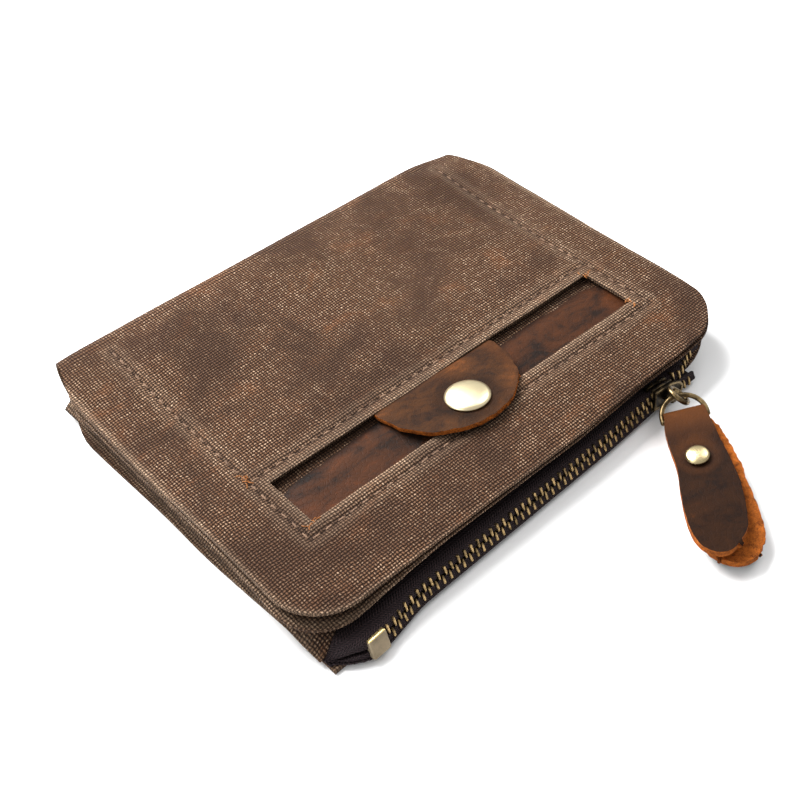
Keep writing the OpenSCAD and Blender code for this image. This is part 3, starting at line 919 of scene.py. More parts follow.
# %% Brass finishes
def brass_finish(bright, dull, tarnish, low_rough, high_rough):
    def make(wire):
        spot = place(wire)
        stain = noise(wire, spot, 1.6, 5.0, 0.65)
        scratch = noise(wire, stretched(wire, spot, (6.0, 1.0, 1.0)), 0.5, 3.0)
        # The wear mark brightens the brass: real rubbing, and on the teeth also a painted highlight on their tops.
        rub_and_highlight = kept(wire, "wear")
        mask = (stain.between(0.35, 0.75) * tarnish + (1 - rub_and_highlight) * tarnish * 0.6).between(0.0, 1.0)
        return {
            "Base Color": mask.mixed(bright, dull),
            "Roughness": low_rough + stain * (high_rough - low_rough) + scratch * 0.08,
            "Normal": bump(wire, stain * 0.5 + scratch * 0.5, 0.03),
        }

    return make


def brass_of(name, *look, metallic=1.0):
    return finish_of(name, brass_finish(*look), Metallic=metallic)


teeth_brass = brass_of("teeth_brass", (0.46, 0.32, 0.15), (0.04, 0.028, 0.015), 0.85, 0.34, 0.6)
dark_brass = brass_of("dark_brass", (0.2, 0.145, 0.075), (0.016, 0.012, 0.008), 1.0, 0.3, 0.5)
ring_brass = brass_of("ring_brass", (0.3, 0.21, 0.1), (0.05, 0.036, 0.02), 0.6, 0.2, 0.4)
# A bright copy of the brass that stands in for the highlight on the stop's upper edge.
stop_highlight = brass_of("stop_highlight", (0.78, 0.6, 0.27), (0.4, 0.3, 0.16), 0.35, 0.2, 0.4)
stop_face = brass_of("stop_face", (0.3, 0.24, 0.16), (0.16, 0.125, 0.08), 0.6, 0.5, 0.7, metallic=0.75)
rivet_gold = brass_of("rivet_gold", (0.66, 0.54, 0.3), (0.36, 0.27, 0.12), 0.5, 0.16, 0.3)
pale_gold = brass_of("pale_gold", (0.83, 0.71, 0.45), (0.6, 0.48, 0.27), 0.16, 0.22, 0.34)
print("brass finishes are ready")

# %% [markdown]
# ### Teeth
# Each tooth is a little bent bar, pinched on to the tape's edge, with a narrow head that hooks over its neighbour.
# One tooth starts as a cube: its head is drawn out and narrowed, its corners are bevelled, and it is copied along
# the chain with every second one on the other tape. The slider parts the rows, so those beyond it stand apart.

# %% One tooth
def one_tooth():
    clear_selection()
    bpy.ops.mesh.primitive_cube_add(size=1, location=(0, 0, 0))
    tooth = bpy.context.object
    co = points(tooth) * MM * np.array([0.56, 0.9, 1.5])
    move_points(tooth, co)
    select_where(tooth, "FACE", lambda m: m[1] < -0.4)
    bpy.ops.mesh.extrude_region_move(TRANSFORM_OT_translate={"value": (0, -0.62 * MM, 0.1 * MM)})
    bpy.ops.transform.resize(value=(0.86, 1, 0.9))
    bpy.ops.mesh.extrude_region_move(TRANSFORM_OT_translate={"value": (0, -0.5 * MM, 0.02 * MM)})
    bpy.ops.transform.resize(value=(0.8, 1, 0.7))
    bpy.ops.mesh.select_all(action="SELECT")
    bpy.ops.mesh.bevel(offset=0.13 * MM, segments=1, affect="EDGES", clamp_overlap=True)
    bpy.ops.object.mode_set(mode="OBJECT")
    co = points(tooth)
    co[:, 1] += 1.3
    move_points(tooth, co)
    # The tooth's top is marked bright: partly rubbed brass, partly a painted highlight.
    rub_and_highlight = np.clip((co[:, 2] - 0.45) / 0.3, 0, 1)
    mark(tooth, "wear", rub_and_highlight)
    return tooth


tooth = one_tooth()
tooth_points = points(tooth)
tooth_rub_and_highlight = np.zeros(len(tooth_points), np.float32)
tooth.data.attributes["wear"].data.foreach_get("value", tooth_rub_and_highlight)
tooth_faces = [tuple(p.vertices) for p in tooth.data.polygons]
print("one tooth:", len(tooth_faces), "faces, mm:", tooth_points.min(0).round(2), tooth_points.max(0).round(2))

# %% Two rows of teeth
def row_of_teeth(name, side, first, node):
    """Copies the tooth along one tape. The side is 1 above the chain's middle line and -1 below it."""
    parts = []
    count = int((CLOSED_END - first) / PITCH) + (5 if side > 0 else 3)
    for i in range(count):
        u = first + i * PITCH
        beyond = u > CLOSED_END - 0.6
        apart = step(np.array([u]), CLOSED_END - 4.5, CLOSED_END - 2.0)[0] * 0.95
        if beyond:
            apart = 0.3 if side > 0 else 1.1
        lean = 0.045 * math.sin(i * 2.4) + (0.12 if beyond else 0)
        co = tooth_points * np.array([1, side, 1])
        co = np.column_stack([co[:, 0] + lean * co[:, 1], co[:, 1] + side * apart, co[:, 2]])
        co[:, 0] += u + 0.05 * math.sin(i * 1.7)
        co[:, 2] += 0.04 * math.sin(i * 3.1) - (0.1 if side < 0 else 0.0)
        back, rise = parted(np.array([u]), side)
        parts.append(put_on_zip(co) + np.array([0, back[0], rise[0]]))
    made = tooth.data.copy()
    row = add_object(name, made)
    faces = [tuple(v + k * len(tooth_points) for v in f[::side]) for k in range(count) for f in tooth_faces]
    made.clear_geometry()
    made.from_pydata([tuple(p * MM) for p in np.vstack(parts)], [], faces)
    made.update()
    mark(row, "wear", np.tile(tooth_rub_and_highlight, count))
    row.data.materials.append(teeth_brass)
    smooth(row, 35)
    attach(row, "pouch")
    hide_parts(node)
    print(name, count, "teeth")


FIRST_TOOTH = stop_high.x + 0.3
row_of_teeth("upper_teeth", 1, FIRST_TOOTH, "teeth_upper")
row_of_teeth("lower_teeth", -1, FIRST_TOOTH + PITCH / 2, "teeth_lower")
bpy.data.objects.remove(tooth)

# %% [markdown]
# ### Bottom stop
# The stop is a strip of brass folded over both tapes into a flat box. Its rounded upper edge is painted bright gold
# as a highlight, and the rest is a duller brass, so it takes two finishes: the bright one for the faces that turn up
# and the dull one for everything else.

# %% Bottom stop
STOP_U = (stop_low.x + stop_high.x) / 2 - 0.8
clear_selection()
bpy.ops.mesh.primitive_cube_add(size=1)
stop = bpy.context.object
stop.name = "zip_stop"
move_points(stop, points(stop) * MM * np.array([4.3, 3.9, 1.8]))
edit_all()
bpy.ops.mesh.bevel(offset=0.42 * MM, segments=4, affect="EDGES")
bpy.ops.object.mode_set(mode="OBJECT")
stop.data.materials.append(stop_highlight)
stop.data.materials.append(stop_face)
# Faces turning up take the painted highlight.
for face in stop.data.polygons:
    face.material_index = 0 if face.normal.y > 0.3 else 1
co = points(stop)
mark(stop, "wear", np.ones(len(co)))
co[:, 0] += 0.12 * co[:, 1]
co[:, 2] += 0.04 * co[:, 0] - 0.13 * co[:, 1] + 0.35
move_points(stop, put_on_zip(co + np.array([STOP_U, 0, 0])))
smooth(stop, 50)
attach(stop, "pouch")
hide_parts("bottom_stop")
print("stop at u, mm:", round(STOP_U, 2))

# %% [markdown]
# ### Slider
# The slider's plate has the outline of a small house, with a raised border round a sunk panel. A circle of few
# corners is moved into that outline, drawn up into a plate, and its top is inset and pressed in. The back plate is
# the same without the panel, and turned-in flanges at the sides keep the tape in the channel.

# %% Slider
SLIDER_U = 36.4
PLATE_IN, PLATE_OUT = 0.85, 1.65
HOUSE = [(-4.9, -2.3), (0.8, -2.4), (3.4, -1.9), (4.6, -0.6), (4.6, 0.6), (3.4, 1.9), (0.8, 2.4), (-4.9, 2.3)]
SLIDER_YAW, SLIDER_ROLL = math.radians(-8), math.radians(15)


def plate(face, sunk):
    """One plate of the slider, on the given face of the chain."""
    clear_selection()
    bpy.ops.mesh.primitive_circle_add(vertices=len(HOUSE), radius=1, fill_type="NGON")
    piece = bpy.context.object
    move_points(piece, [(u, v, PLATE_IN) for u, v in HOUSE])
    edit_all()
    bpy.ops.mesh.extrude_region_move(TRANSFORM_OT_translate={"value": (0, 0, (PLATE_OUT - PLATE_IN) * MM)})
    if sunk:
        bpy.ops.mesh.inset(thickness=0.55 * MM)
        bpy.ops.mesh.inset(thickness=0.16 * MM, depth=-0.28 * MM)
    bpy.ops.object.mode_set(mode="OBJECT")
    select_where(piece, "EDGE", lambda m: True)
    bpy.ops.mesh.normals_make_consistent(inside=False)
    bpy.ops.object.mode_set(mode="OBJECT")
    add_modifier(piece, "BEVEL", width=0.14 * MM, segments=2, limit_method="ANGLE", angle_limit=math.radians(30))
    co = points(piece)
    mark(piece, "wear", np.clip((co[:, 2] - PLATE_OUT + 0.22) / 0.2, 0, 1))
    co[:, 2] += 0.35 * step(co[:, 0], 0.5, 4.6)
    move_points(piece, co)
    if face < 0:
        co[:, 2] *= -1
        move_points(piece, co)
        edit_all()
        bpy.ops.mesh.flip_normals()
        bpy.ops.object.mode_set(mode="OBJECT")
    return piece


def small_block(low, high, softness):
    """A bevelled block between two corners, along, across and out of the chain."""
    clear_selection()
    bpy.ops.mesh.primitive_cube_add(size=1)
    piece = bpy.context.object
    low, high = np.array(low), np.array(high)
    move_points(piece, points(piece) * MM * (high - low) + (low + high) / 2)
    add_modifier(piece, "BEVEL", width=softness * MM, segments=2)
    mark(piece, "wear", np.full(len(piece.data.vertices), 0.4))
    return piece


def joined(name, pieces):
    clear_selection()
    for piece in pieces:
        piece.select_set(True)
    bpy.context.view_layer.objects.active = pieces[0]
    bpy.ops.object.join()
    pieces[0].name = name
    return pieces[0]


blocks = [plate(1, True), plate(-1, False)]
for side in (-1, 1):
    for face in (-1, 1):
        near, far = sorted((side * 2.15, side * 2.8))
        low_w, high_w = sorted((face * 0.4, face * 0.95))
        blocks.append(small_block((-5.1, near, low_w), (1.4, far, high_w), 0.12))
blocks.append(small_block((3.6, -0.42, -0.95), (5.1, 0.42, 0.95), 0.15))
blocks.append(small_block((-1.9, -0.75, PLATE_OUT - 0.35), (1.2, 0.75, PLATE_OUT + 2.4), 0.3))
slider = joined("slider_shell", blocks)
co = points(slider)
cos, sin = math.cos(SLIDER_YAW), math.sin(SLIDER_YAW)
yaw = np.array([[cos, sin, 0], [-sin, cos, 0], [0, 0, 1]])
cos, sin = math.cos(SLIDER_ROLL), math.sin(SLIDER_ROLL)
roll = np.array([[1, 0, 0], [0, cos, sin], [0, -sin, cos]])
move_points(slider, put_on_zip(co @ yaw @ roll + np.array([SLIDER_U, 0, 0])))
slider.data.materials.append(dark_brass)
smooth(slider, 35)
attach(slider, "slider")
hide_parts("slider_body")
give_finish(ring_brass, "slider_eye", "puller_ring")
print("slider box, mm:", points(slider).min(0).round(1), points(slider).max(0).round(1))

# %% [markdown]
# ## Oiled leather
# The band, the tab and the pull are one kind of oiled leather that turns pale where it is bent, and each piece is
# painted darker where shade falls on it. The colour goes from nearly black through brown to rust in drawn-out clouds.
# The skin has fine pores and a soft gloss, and every cut edge shows the orange, furry inside of the hide.

# %% Leather finishes
def leather_finish(dark, mid, rust, size, stretch, share):
    def make(wire):
        spot = stretched(wire, place(wire), stretch)
        cloud = noise(wire, spot, size, 6.0, 0.62, 0.9)
        cloud_two = noise(wire, spot, size * 0.45, 6.0, 0.68, 1.5)
        pores = noise(wire, place(wire), 0.3, 4.0, 0.7)
        crease = wire.node("TexVoronoi", {"feature": "DISTANCE_TO_EDGE"}, {"Vector": place(wire), "Scale": 1 / 1.1})
        wear = kept(wire, "wear")
        soil = kept(wire, "soil")
        tone = cloud * 0.65 + cloud_two * 0.35 + (pores - 0.5) * 0.16
        body = tone.between(0.36, 0.56).mixed(dark, mid)
        body = (tone.between(0.52, 0.72) * share + wear * 0.8).between(0, 1).mixed(body, rust)
        # Painted shade: where the mesh's mark is set, the leather is darkened as shade.
        body = (soil * 0.85).mixed(body, tuple(c * 0.3 for c in dark))
        skin = pores * 0.6 + crease.between(0.0, 0.12) * 0.4
        gloss = 0.42 + pores * 0.25 + cloud_two * 0.1
        return {"Base Color": body, "Roughness": gloss, "Normal": bump(wire, skin, 0.1)}

    return make


def hide_finish(wire):
    """The raw inside of the hide: bright orange, furry and matt."""
    spot = place(wire)
    fur = noise(wire, spot, 0.5, 6.0, 0.75, 2.0)
    clump = noise(wire, spot, 1.6, 4.0, 0.6, 1.0)
    colour = (fur * 0.6 + clump * 0.4).between(0.35, 0.62).mixed((0.07, 0.017, 0.004), (0.46, 0.125, 0.018))
    return {"Base Color": colour, "Roughness": 0.8 + fur * 0.15, "Normal": bump(wire, fur * 0.6 + clump * 0.4, 0.6)}


band_leather = finish_of(
    "band_leather",
    leather_finish((0.009, 0.005, 0.0035), (0.042, 0.014, 0.005), (0.115, 0.031, 0.008), 11.0, (0.75, 1.3, 1.0), 0.75),
    Specular_IOR_Level=0.08,
)
tab_leather = finish_of(
    "tab_leather",
    leather_finish((0.014, 0.0065, 0.004), (0.044, 0.017, 0.006), (0.16, 0.05, 0.012), 9.0, (0.9, 1.2, 1.0), 0.6),
    Specular_IOR_Level=0.06,
)
pull_leather = finish_of(
    "pull_leather",
    leather_finish((0.008, 0.0036, 0.0023), (0.02, 0.0075, 0.003), (0.11, 0.034, 0.007), 8.0, (1.0, 1.0, 1.0), 0.35),
    Specular_IOR_Level=0.06,
)
raw_hide = finish_of("raw_hide", hide_finish, Specular_IOR_Level=0.1)
print("leathers are ready")

# %% [markdown]
# ### Band behind the window
# The band is a flat strip of leather that shows through the window. It sags towards the slot at its back edge, where
# cards go in, so the lip of the canvas throws a black shadow on it.

# %% Band
band = sheet_of("window_band", (band_low.x, band_low.y), (band_high.x, band_high.y), 150, 46, 0.0)
co = points(band)
x, y = co[:, 0], co[:, 1]
across_window = step(y, WINDOW[1], WINDOW[3])
z = band_high.z - 0.42 + 0.12 * np.sin(across_window * math.pi) - 0.75 * step(y, WINDOW[3] - 6, WINDOW[3] + 1)
z += ripple(co, 12.0, 0.14, 2.2) + ripple(co, 4.0, 0.04, 6.1)
z -= 0.3 * (1 - step(x - WINDOW[0], -1, 5)) + 0.3 * (1 - step(WINDOW[2] - x, -1, 5))
co[:, 2] = z
move_points(band, co)
add_modifier(band, "SOLIDIFY", thickness=0.7 * MM, offset=0.0)
smooth(band, 50)
co = points(band)
ends = np.maximum(1 - step(co[:, 0] - WINDOW[0], 0, 9), 0.8 * (1 - step(WINDOW[2] - co[:, 0], 0, 12)))
mark(band, "wear", 0.45 * ends * (1 - step(co[:, 1], WINDOW[1], WINDOW[3] + 2)))
# Painted shadow of the canvas lip, on the band's back edge by the slot.
mark(band, "soil", step(co[:, 1], WINDOW[3] - 4.5, WINDOW[3] - 0.8))
band.data.materials.append(band_leather)
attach(band, "cover")
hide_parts("window_leather", "pocket_lining")
print("band top, mm:", round(points(band)[:, 2].max(), 2))

# %% [markdown]
# ### Snap tab
# The tab is a half moon of thicker leather that comes out of the seam above the window. A square grid is squeezed
# onto a straight root and a half disc, given a slight dome, drawn down to its thickness, and its root goes under the
# canvas.
# It bends across the joint that lifts it, and its cut edge is raw hide.

# %% Snap tab
tab_low, tab_high = box_of("snap_tab")
cap_low, cap_high = box_of("snap_cap")
TAB_X = (tab_low.x + tab_high.x) / 2
TAB_R = (tab_high.x - tab_low.x) / 2
TAB_T = 1.0
TAB_LEAN = math.radians(7.0)
TAB_FRONT = tab_low.y - 0.1
SNAP = ((cap_low.x + cap_high.x) / 2, (cap_low.y + cap_high.y) / 2)
tab = sheet_of("leather_tab", (-1, 0), (1, 1), 64, 40, 0.0)
co = points(tab)
u, v = co[:, 0].copy(), co[:, 1].copy()
root = WINDOW[3] + 1.6
straight = root - (TAB_FRONT + TAB_R * 1.02)
reach = root - TAB_FRONT
depth = v * reach
disc = np.clip((depth - straight) / (reach - straight), 0, 1)
x = u * TAB_R * np.sqrt(np.maximum(1 - disc * disc / 2, 0))
y_disc = disc * np.sqrt(np.maximum(1 - u * u / 2, 0)) * (reach - straight)
y = root - np.minimum(depth, straight) - y_disc
x *= 1 + 0.012 * np.sin(y * 1.1)
z_root = band_high.z + 0.15 + TAB_T / 2
rise = np.tan(TAB_LEAN) * np.maximum(WINDOW[3] - 0.3 - y, 0)
from_snap = np.hypot(x - (SNAP[0] - TAB_X), y - SNAP[1])
z = z_root + rise - 0.3 * dent(from_snap, 6.5) + 0.15 * np.cos(x / TAB_R * math.pi / 2)
z -= 0.42 * step(y, WINDOW[3] - 1.2, WINDOW[3] + 0.6)
z += ripple(np.column_stack([x, y, x]), 9.0, 0.16, 4.9)
move_points(tab, np.column_stack([x + TAB_X, y, z]))
rim = np.maximum(np.abs(u), v)
on_rim = (rim > 0.999) & (y < WINDOW[3] - 2)
co = points(tab)
fray = ripple(co, 0.9, 0.16, 2.7) + ripple(co, 2.4, 0.12, 8.2)
outward = np.column_stack([(co[:, 0] - TAB_X), co[:, 1] - (TAB_FRONT + TAB_R)])
outward /= np.maximum(np.linalg.norm(outward, axis=1), 1e-6)[:, None]
co[on_rim, :2] += outward[on_rim] * fray[on_rim][:, None]
move_points(tab, co)
thicken_hide(tab, TAB_T, 0.16)
tab.data.materials.append(tab_leather)
tab.data.materials.append(raw_hide)
for face in tab.data.polygons:
    face.material_index = 1 if abs(face.normal.z) < 0.55 else 0
co = points(tab)
from_snap = np.hypot(co[:, 0] - SNAP[0], co[:, 1] - SNAP[1])
edge = TAB_R - np.hypot(co[:, 0] - TAB_X, co[:, 1] - (TAB_FRONT + TAB_R))
rim_wear = 0.3 * dent(edge - 1.5, 2.0) * step(co[:, 0], TAB_X, TAB_X + 12)
mark(tab, "wear", rim_wear + 0.25 * dent(co[:, 0] - TAB_X - 4, 7) * step(co[:, 1], -22, -16))
# Painted shade: a ring just outside the snap's dome, and the root where the tab goes under the canvas lip.
mark(tab, "soil", 0.6 * dent(from_snap - 6.0, 1.6) + 0.35 * step(co[:, 1], WINDOW[3] - 1.0, WINDOW[3]))
smooth(tab, 40)
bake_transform(tab)
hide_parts("snap_tab", "tab_root")
print("tab, mm:", co.min(0).round(1), co.max(0).round(1))

# %% [markdown]
# ### Domed caps
# The snap and the rivet end in low pressed domes with a rolled rim. Their outline is drawn as a few points from the
# middle out, and spun round its own axis.

# %% Caps
def dome_cap(name, centre, normal, radius, height, thick):
    """A pressed dome whose base lies at the centre, facing along the normal, in millimetres."""
    clear_selection()
    bpy.ops.mesh.primitive_plane_add(size=1)
    cap = bpy.context.object
    cap.name = name
    edit_all()
    bpy.ops.mesh.delete(type="EDGE_FACE")
    bpy.ops.object.mode_set(mode="OBJECT")
    turns = np.linspace(0, 1.45, 14)
    arc = [(radius * 0.94 * math.sin(t), height * 0.38 + height * 0.62 * math.cos(t)) for t in turns]
    roll = [(radius * 0.985, height * 0.34), (radius, height * 0.2)]
    roll += [(radius * 0.985, height * 0.06), (radius * 0.93, -thick)]
    outline = arc + roll + [(0.0, -thick)]
    mesh = bpy.data.meshes.new(name)
    mesh.from_pydata([(r * MM, 0, z * MM) for r, z in outline], [(i, i + 1) for i in range(len(outline) - 1)], [])
    cap.data = mesh
    edit_all()
    bpy.ops.mesh.spin(steps=64, angle=2 * math.pi, center=(0, 0, 0), axis=(0, 0, 1))
    bpy.ops.mesh.select_all(action="SELECT")
    bpy.ops.mesh.remove_doubles(threshold=0.002 * MM)
    bpy.ops.mesh.normals_make_consistent(inside=False)
    bpy.ops.object.mode_set(mode="OBJECT")
    turn = np.array(Vector(normal).to_track_quat("Z", "Y").to_matrix())
    move_points(cap, points(cap) @ turn.T + np.array(centre))
    mark(cap, "wear", np.ones(len(cap.data.vertices)))
    cap.data.materials.append(pale_gold)
    smooth(cap, 50)
    print(name, len(cap.data.polygons), "faces")
    return cap


tab_up = Vector((0, math.sin(TAB_LEAN), math.cos(TAB_LEAN)))
snap_base = Vector((SNAP[0], SNAP[1] - 0.1, cap_high.z - 1.32))
snap = dome_cap("snap_dome", snap_base, tab_up, 5.05, 1.35, 0.35)
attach(snap, "tab")
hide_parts("snap_cap")
give_finish(ring_brass, "snap_stud", "stud_rivet", "snap_socket", "rivet_post")

# %% [markdown]
# ### Zip pull
# The pull is one strip folded round the bar of the wire ring and held by a rivet. Its front end is dark and smooth,
# with an orange cut edge; the back end is longer, hangs a little to the right, and shows the furry side of the hide.
# The strip is a grid with one long direction: it is laid flat, spun round the bar, and drawn on as the back layer.

# %% The pull's own directions
swing = next(j for j in frame["joints"] if j["name"] == "pull_swing")
BAR = np.array(swing["pos_m"]) / MM
PULL_X = -np.array(swing["axis"])
PULL_Y = np.cross((0, 0, 1), PULL_X)
PULL_Y = PULL_Y / np.linalg.norm(PULL_Y)
PULL_UP = np.cross(PULL_X, PULL_Y)
PULL_T = 1.45
FOLD_MID = 0.65 + PULL_T / 2
FOLD_SHARE = 0.04
RIVET_AT = (-0.7, -12.2)


def put_on_pull(co):
    """Takes points across, along towards the ring and up from the bar to their place."""
    return BAR + co[:, :1] * PULL_X + co[:, 1:2] * PULL_Y + co[:, 2:3] * PULL_UP


def edge_line(s, keys):
    """A smooth line through a few given distances, for the edges of the strip."""
    at = np.array([k[0] for k in keys], float)
    to = np.array([k[1] for k in keys], float)
    return sum(np.interp(s + d, at, to) for d in (-1.6, -0.8, 0, 0.8, 1.6)) / 5


def strip_layer(co_u, s, length, left, right, tip_x, tip_r):
    """Across and along positions of one layer from the fold to its round end."""
    low, high = edge_line(s, left), edge_line(s, right)
    middle, wide = (low + high) / 2, (high - low) / 2
    t = np.clip((s - (length - tip_r)) / tip_r, 0, 1)
    squeeze = np.sqrt(np.maximum(1 - t * t / 2, 0))
    x = middle + (tip_x - middle) * t * t * 0.55 + co_u * wide * squeeze
    along = np.minimum(s, length - tip_r) + t * np.sqrt(np.maximum(1 - co_u * co_u / 2, 0)) * tip_r
    return x, -along


FRONT_L = [(0, -4.3), (2, -5.1), (6, -5.5), (14, -5.4), (20, -6.4), (27, -7.2), (33, -7.1), (37, -6.6)]
FRONT_R = [(0, 4.3), (2, 4.5), (8, 4.9), (14, 5.4), (20, 5.7), (26, 5.0), (31, 3.9), (37, 2.6)]
BACK_L = [(0, -4.3), (4, -4.4), (14, -4.6), (24, -5.2), (31, -5.4), (37, -5.2)]
BACK_R = [(0, 4.3), (2, 5.6), (5, 6.5), (10, 6.9), (16, 7.3), (28, 7.5), (33, 6.7), (38, 5.6)]
FRONT_LENGTH, BACK_LENGTH = 37.1, 37.9
strip = sheet_of("leather_pull", (-1, -1), (1, 1), 40, 200, 0.0)
co = points(strip)
u, v = co[:, 0].copy(), co[:, 1].copy()
front_s = np.clip(-v - FOLD_SHARE, 0, 1) / (1 - FOLD_SHARE) * FRONT_LENGTH
back_s = np.clip(v - FOLD_SHARE, 0, 1) / (1 - FOLD_SHARE) * BACK_LENGTH
fx, fy = strip_layer(u, front_s, FRONT_LENGTH, FRONT_L, FRONT_R, -2.9, 6.0)
bx, by = strip_layer(u, back_s, BACK_LENGTH, BACK_L, BACK_R, 0.9, 6.2)
turn = np.clip(v / FOLD_SHARE, -1, 1) * math.pi / 2
is_front = v < 0
x = np.where(is_front, fx, bx)
along = np.where(is_front, fy, by) + FOLD_MID * np.cos(turn)
lift = -FOLD_MID * np.sin(turn)
far = np.where(is_front, front_s, back_s)
twist = step(far, 6, 34)
near_rivet = dent(np.hypot(x - RIVET_AT[0], along - RIVET_AT[1]), 4.2)
lift = lift * (1 - 0.36 * step(far, 4, 11)) + np.where(is_front, 1, -1) * 0.35 * step(far, 18, 36)
lift += -np.sign(lift) * 0.22 * near_rivet
lift += x * -0.09 * twist * 1.6
lift += np.where(is_front, 0.55, 0.0) * step(far, 20, 37) - 0.35 * twist
lift += ripple(np.column_stack([x, along, x]), 10.0, 0.22, 3.3)
shaggy = np.where((np.abs(u) > 0.97) | (np.abs(v) > 0.985), 1.0, 0.25) * np.where(is_front, 0.25, 1.0)
fluff = np.column_stack([x, along, x])
x = x + shaggy * (ripple(fluff, 1.1, 0.4, 5.2) + ripple(fluff, 0.6, 0.25, 2.2)) * np.abs(u)
place_now = put_on_pull(np.column_stack([x, along, lift]))
place_now[:, 2] = np.maximum(place_now[:, 2], PULL_T / 2 + 0.06)
move_points(strip, place_now)
mark(strip, "run", v)
mark(strip, "side", u)
thicken_hide(strip, PULL_T, 0.2)
smooth(strip, 40)
strip.data.materials.append(pull_leather)
strip.data.materials.append(raw_hide)
run = np.zeros(len(strip.data.vertices), np.float32)
strip.data.attributes["run"].data.foreach_get("value", run)
normal_up = np.array([tuple(f.normal) for f in strip.data.polygons]) @ PULL_UP
for face, up_part in zip(strip.data.polygons, normal_up):
    here = run[face.vertices[0]]
    outside = (here < 0 and up_part > 0.5) or (here > 0 and up_part < -0.5)
    face.material_index = 0 if outside or abs(here) < 0.045 else 1
co = points(strip)
local = (co - BAR) @ np.column_stack([PULL_X, PULL_Y, PULL_UP])
to_rivet = np.hypot(local[:, 0] - RIVET_AT[0], local[:, 1] - RIVET_AT[1])
worn = 0.85 * step(local[:, 1], -13, 1) + 0.35 * dent(to_rivet - 4.0, 1.6)
mark(strip, "wear", np.clip(worn, 0, 1) * 0.75)
# Painted shade in a ring past the rivet, where the strip dips round it.
mark(strip, "soil", 0.5 * dent(to_rivet - 5.2, 1.0) * step(-local[:, 1], 12, 16))
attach(strip, "pull")
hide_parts("pull_strap")
print("pull, mm:", co.min(0).round(1), co.max(0).round(1))

# %% Rivet cap
rivet_base = put_on_pull(np.array([[*RIVET_AT, 1.9]]))[0]
rivet = dome_cap("rivet_dome", rivet_base, Vector(PULL_UP), 2.5, 0.95, 0.4)
rivet.data.materials[0] = rivet_gold
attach(rivet, "pull")
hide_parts("rivet_cap")

# %% [markdown]
# ## Stitches
# Every visible stitch is one short length of waxed thread between two holes, pulled down into the cloth at its ends.
# One stitch starts as a cylinder on its side, its ends are bent down, and it is copied along each row. The cloth's own
# relief gives each copy its height.

# %% Thread finish
def thread_finish(wire):
    spot = place(wire)
    ply = noise(wire, spot, 0.22, 3.0, 0.6)
    age = noise(wire, spot, 6.0, 3.0, 0.6)
    tone = (ply * 0.7 + age * 0.5).between(0.35, 0.8)
    colour = tone.mixed((0.035, 0.018, 0.011), (0.27, 0.165, 0.105))
    return {"Base Color": colour, "Normal": bump(wire, ply, 0.12)}


thread = finish_of("waxed_thread", thread_finish, Roughness=0.7, Specular_IOR_Level=0.2)
STITCH_L, STITCH_R = 2.2, 0.24


def one_stitch():
    clear_selection()
    bpy.ops.mesh.primitive_cylinder_add(vertices=7, radius=STITCH_R * MM, depth=STITCH_L * MM, location=(0, 0, 0))
    stitch = bpy.context.object
    bpy.ops.object.mode_set(mode="EDIT")
    for z in (-0.85, -0.4, 0.4, 0.85):
        bpy.ops.mesh.select_all(action="SELECT")
        bpy.ops.mesh.bisect(plane_co=(0, 0, z * MM), plane_no=(0, 0, 1))
    bpy.ops.object.mode_set(mode="OBJECT")
    co = points(stitch)[:, [2, 1, 0]]
    far = np.abs(co[:, 0]) / (STITCH_L / 2)
    co[:, 1:] *= (1 - 0.3 * far ** 3)[:, None]
    co[:, 2] = -co[:, 2] - 0.34 * far ** 3
    move_points(stitch, co)
    clear_selection()
    return stitch


stitch = one_stitch()
stitch_points = points(stitch)
stitch_faces = [tuple(p.vertices) for p in stitch.data.polygons]
bpy.data.objects.remove(stitch)
print("one stitch:", len(stitch_faces), "faces")

# %% Rows of stitches
def row_places(start, end, pitch=3.0):
    """Middles and directions of the stitches from one corner to the next."""
    start, end = np.array(start), np.array(end)
    span = np.linalg.norm(end - start)
    count = int(span / pitch)
    along = (end - start) / span
    return [(start + along * (i + 0.5) * span / count, along) for i in range(count)]


def sew(name, rows, node):
    parts = []
    for k, (middle, along) in enumerate(place_ for row in rows for place_ in row_places(*row)):
        wobble = 0.07 * math.sin(k * 2.3)
        along = np.array([along[0] - wobble * along[1], along[1] + wobble * along[0]])
        across = np.array([-along[1], along[0]])
        spot = np.array([[middle[0], middle[1], TOP]])
        z = TOP + cover_relief(spot)[0] * step(HINGE_Y - spot[0, 1], -1, 6) + fold_puff(spot)[0] + 0.03
        flat = stitch_points[:, :1] * along + stitch_points[:, 1:2] * across
        parts.append(np.column_stack([flat + middle + across * 0.06 * math.sin(k * 1.9), stitch_points[:, 2] + z]))
    mesh = bpy.data.meshes.new(name)
    count = len(stitch_points)
    faces = [tuple(v + k * count for v in f) for k in range(len(parts)) for f in stitch_faces]
    mesh.from_pydata([tuple(p) for p in np.vstack(parts) * MM], [], faces)
    row = add_object(name, mesh)
    select_only(row)
    edit_all()
    bpy.ops.mesh.normals_make_consistent(inside=False)
    bpy.ops.object.mode_set(mode="OBJECT")
    row.data.materials.append(thread)
    smooth(row, 60)
    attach(row, "cover")
    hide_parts(node)
    print(name, len(parts), "stitches")


FRONT_L_C, FRONT_R_C = (SEAM_L, SEAM_F), (SEAM_R, SEAM_F)
BACK_L_C, BACK_R_C = (SEAM_L, SEAM_B), (SEAM_R, SEAM_B)
sew("window_stitches", [(FRONT_L_C, FRONT_R_C), (BACK_L_C, BACK_R_C), (FRONT_L_C, BACK_L_C), (FRONT_R_C, BACK_R_C)],
    "window_stitching")
sew("pocket_stitches", [(BACK_L_C, (SEAM_L, STITCH_BACK)), (BACK_R_C, (SEAM_R, STITCH_BACK))], "pocket_stitching")

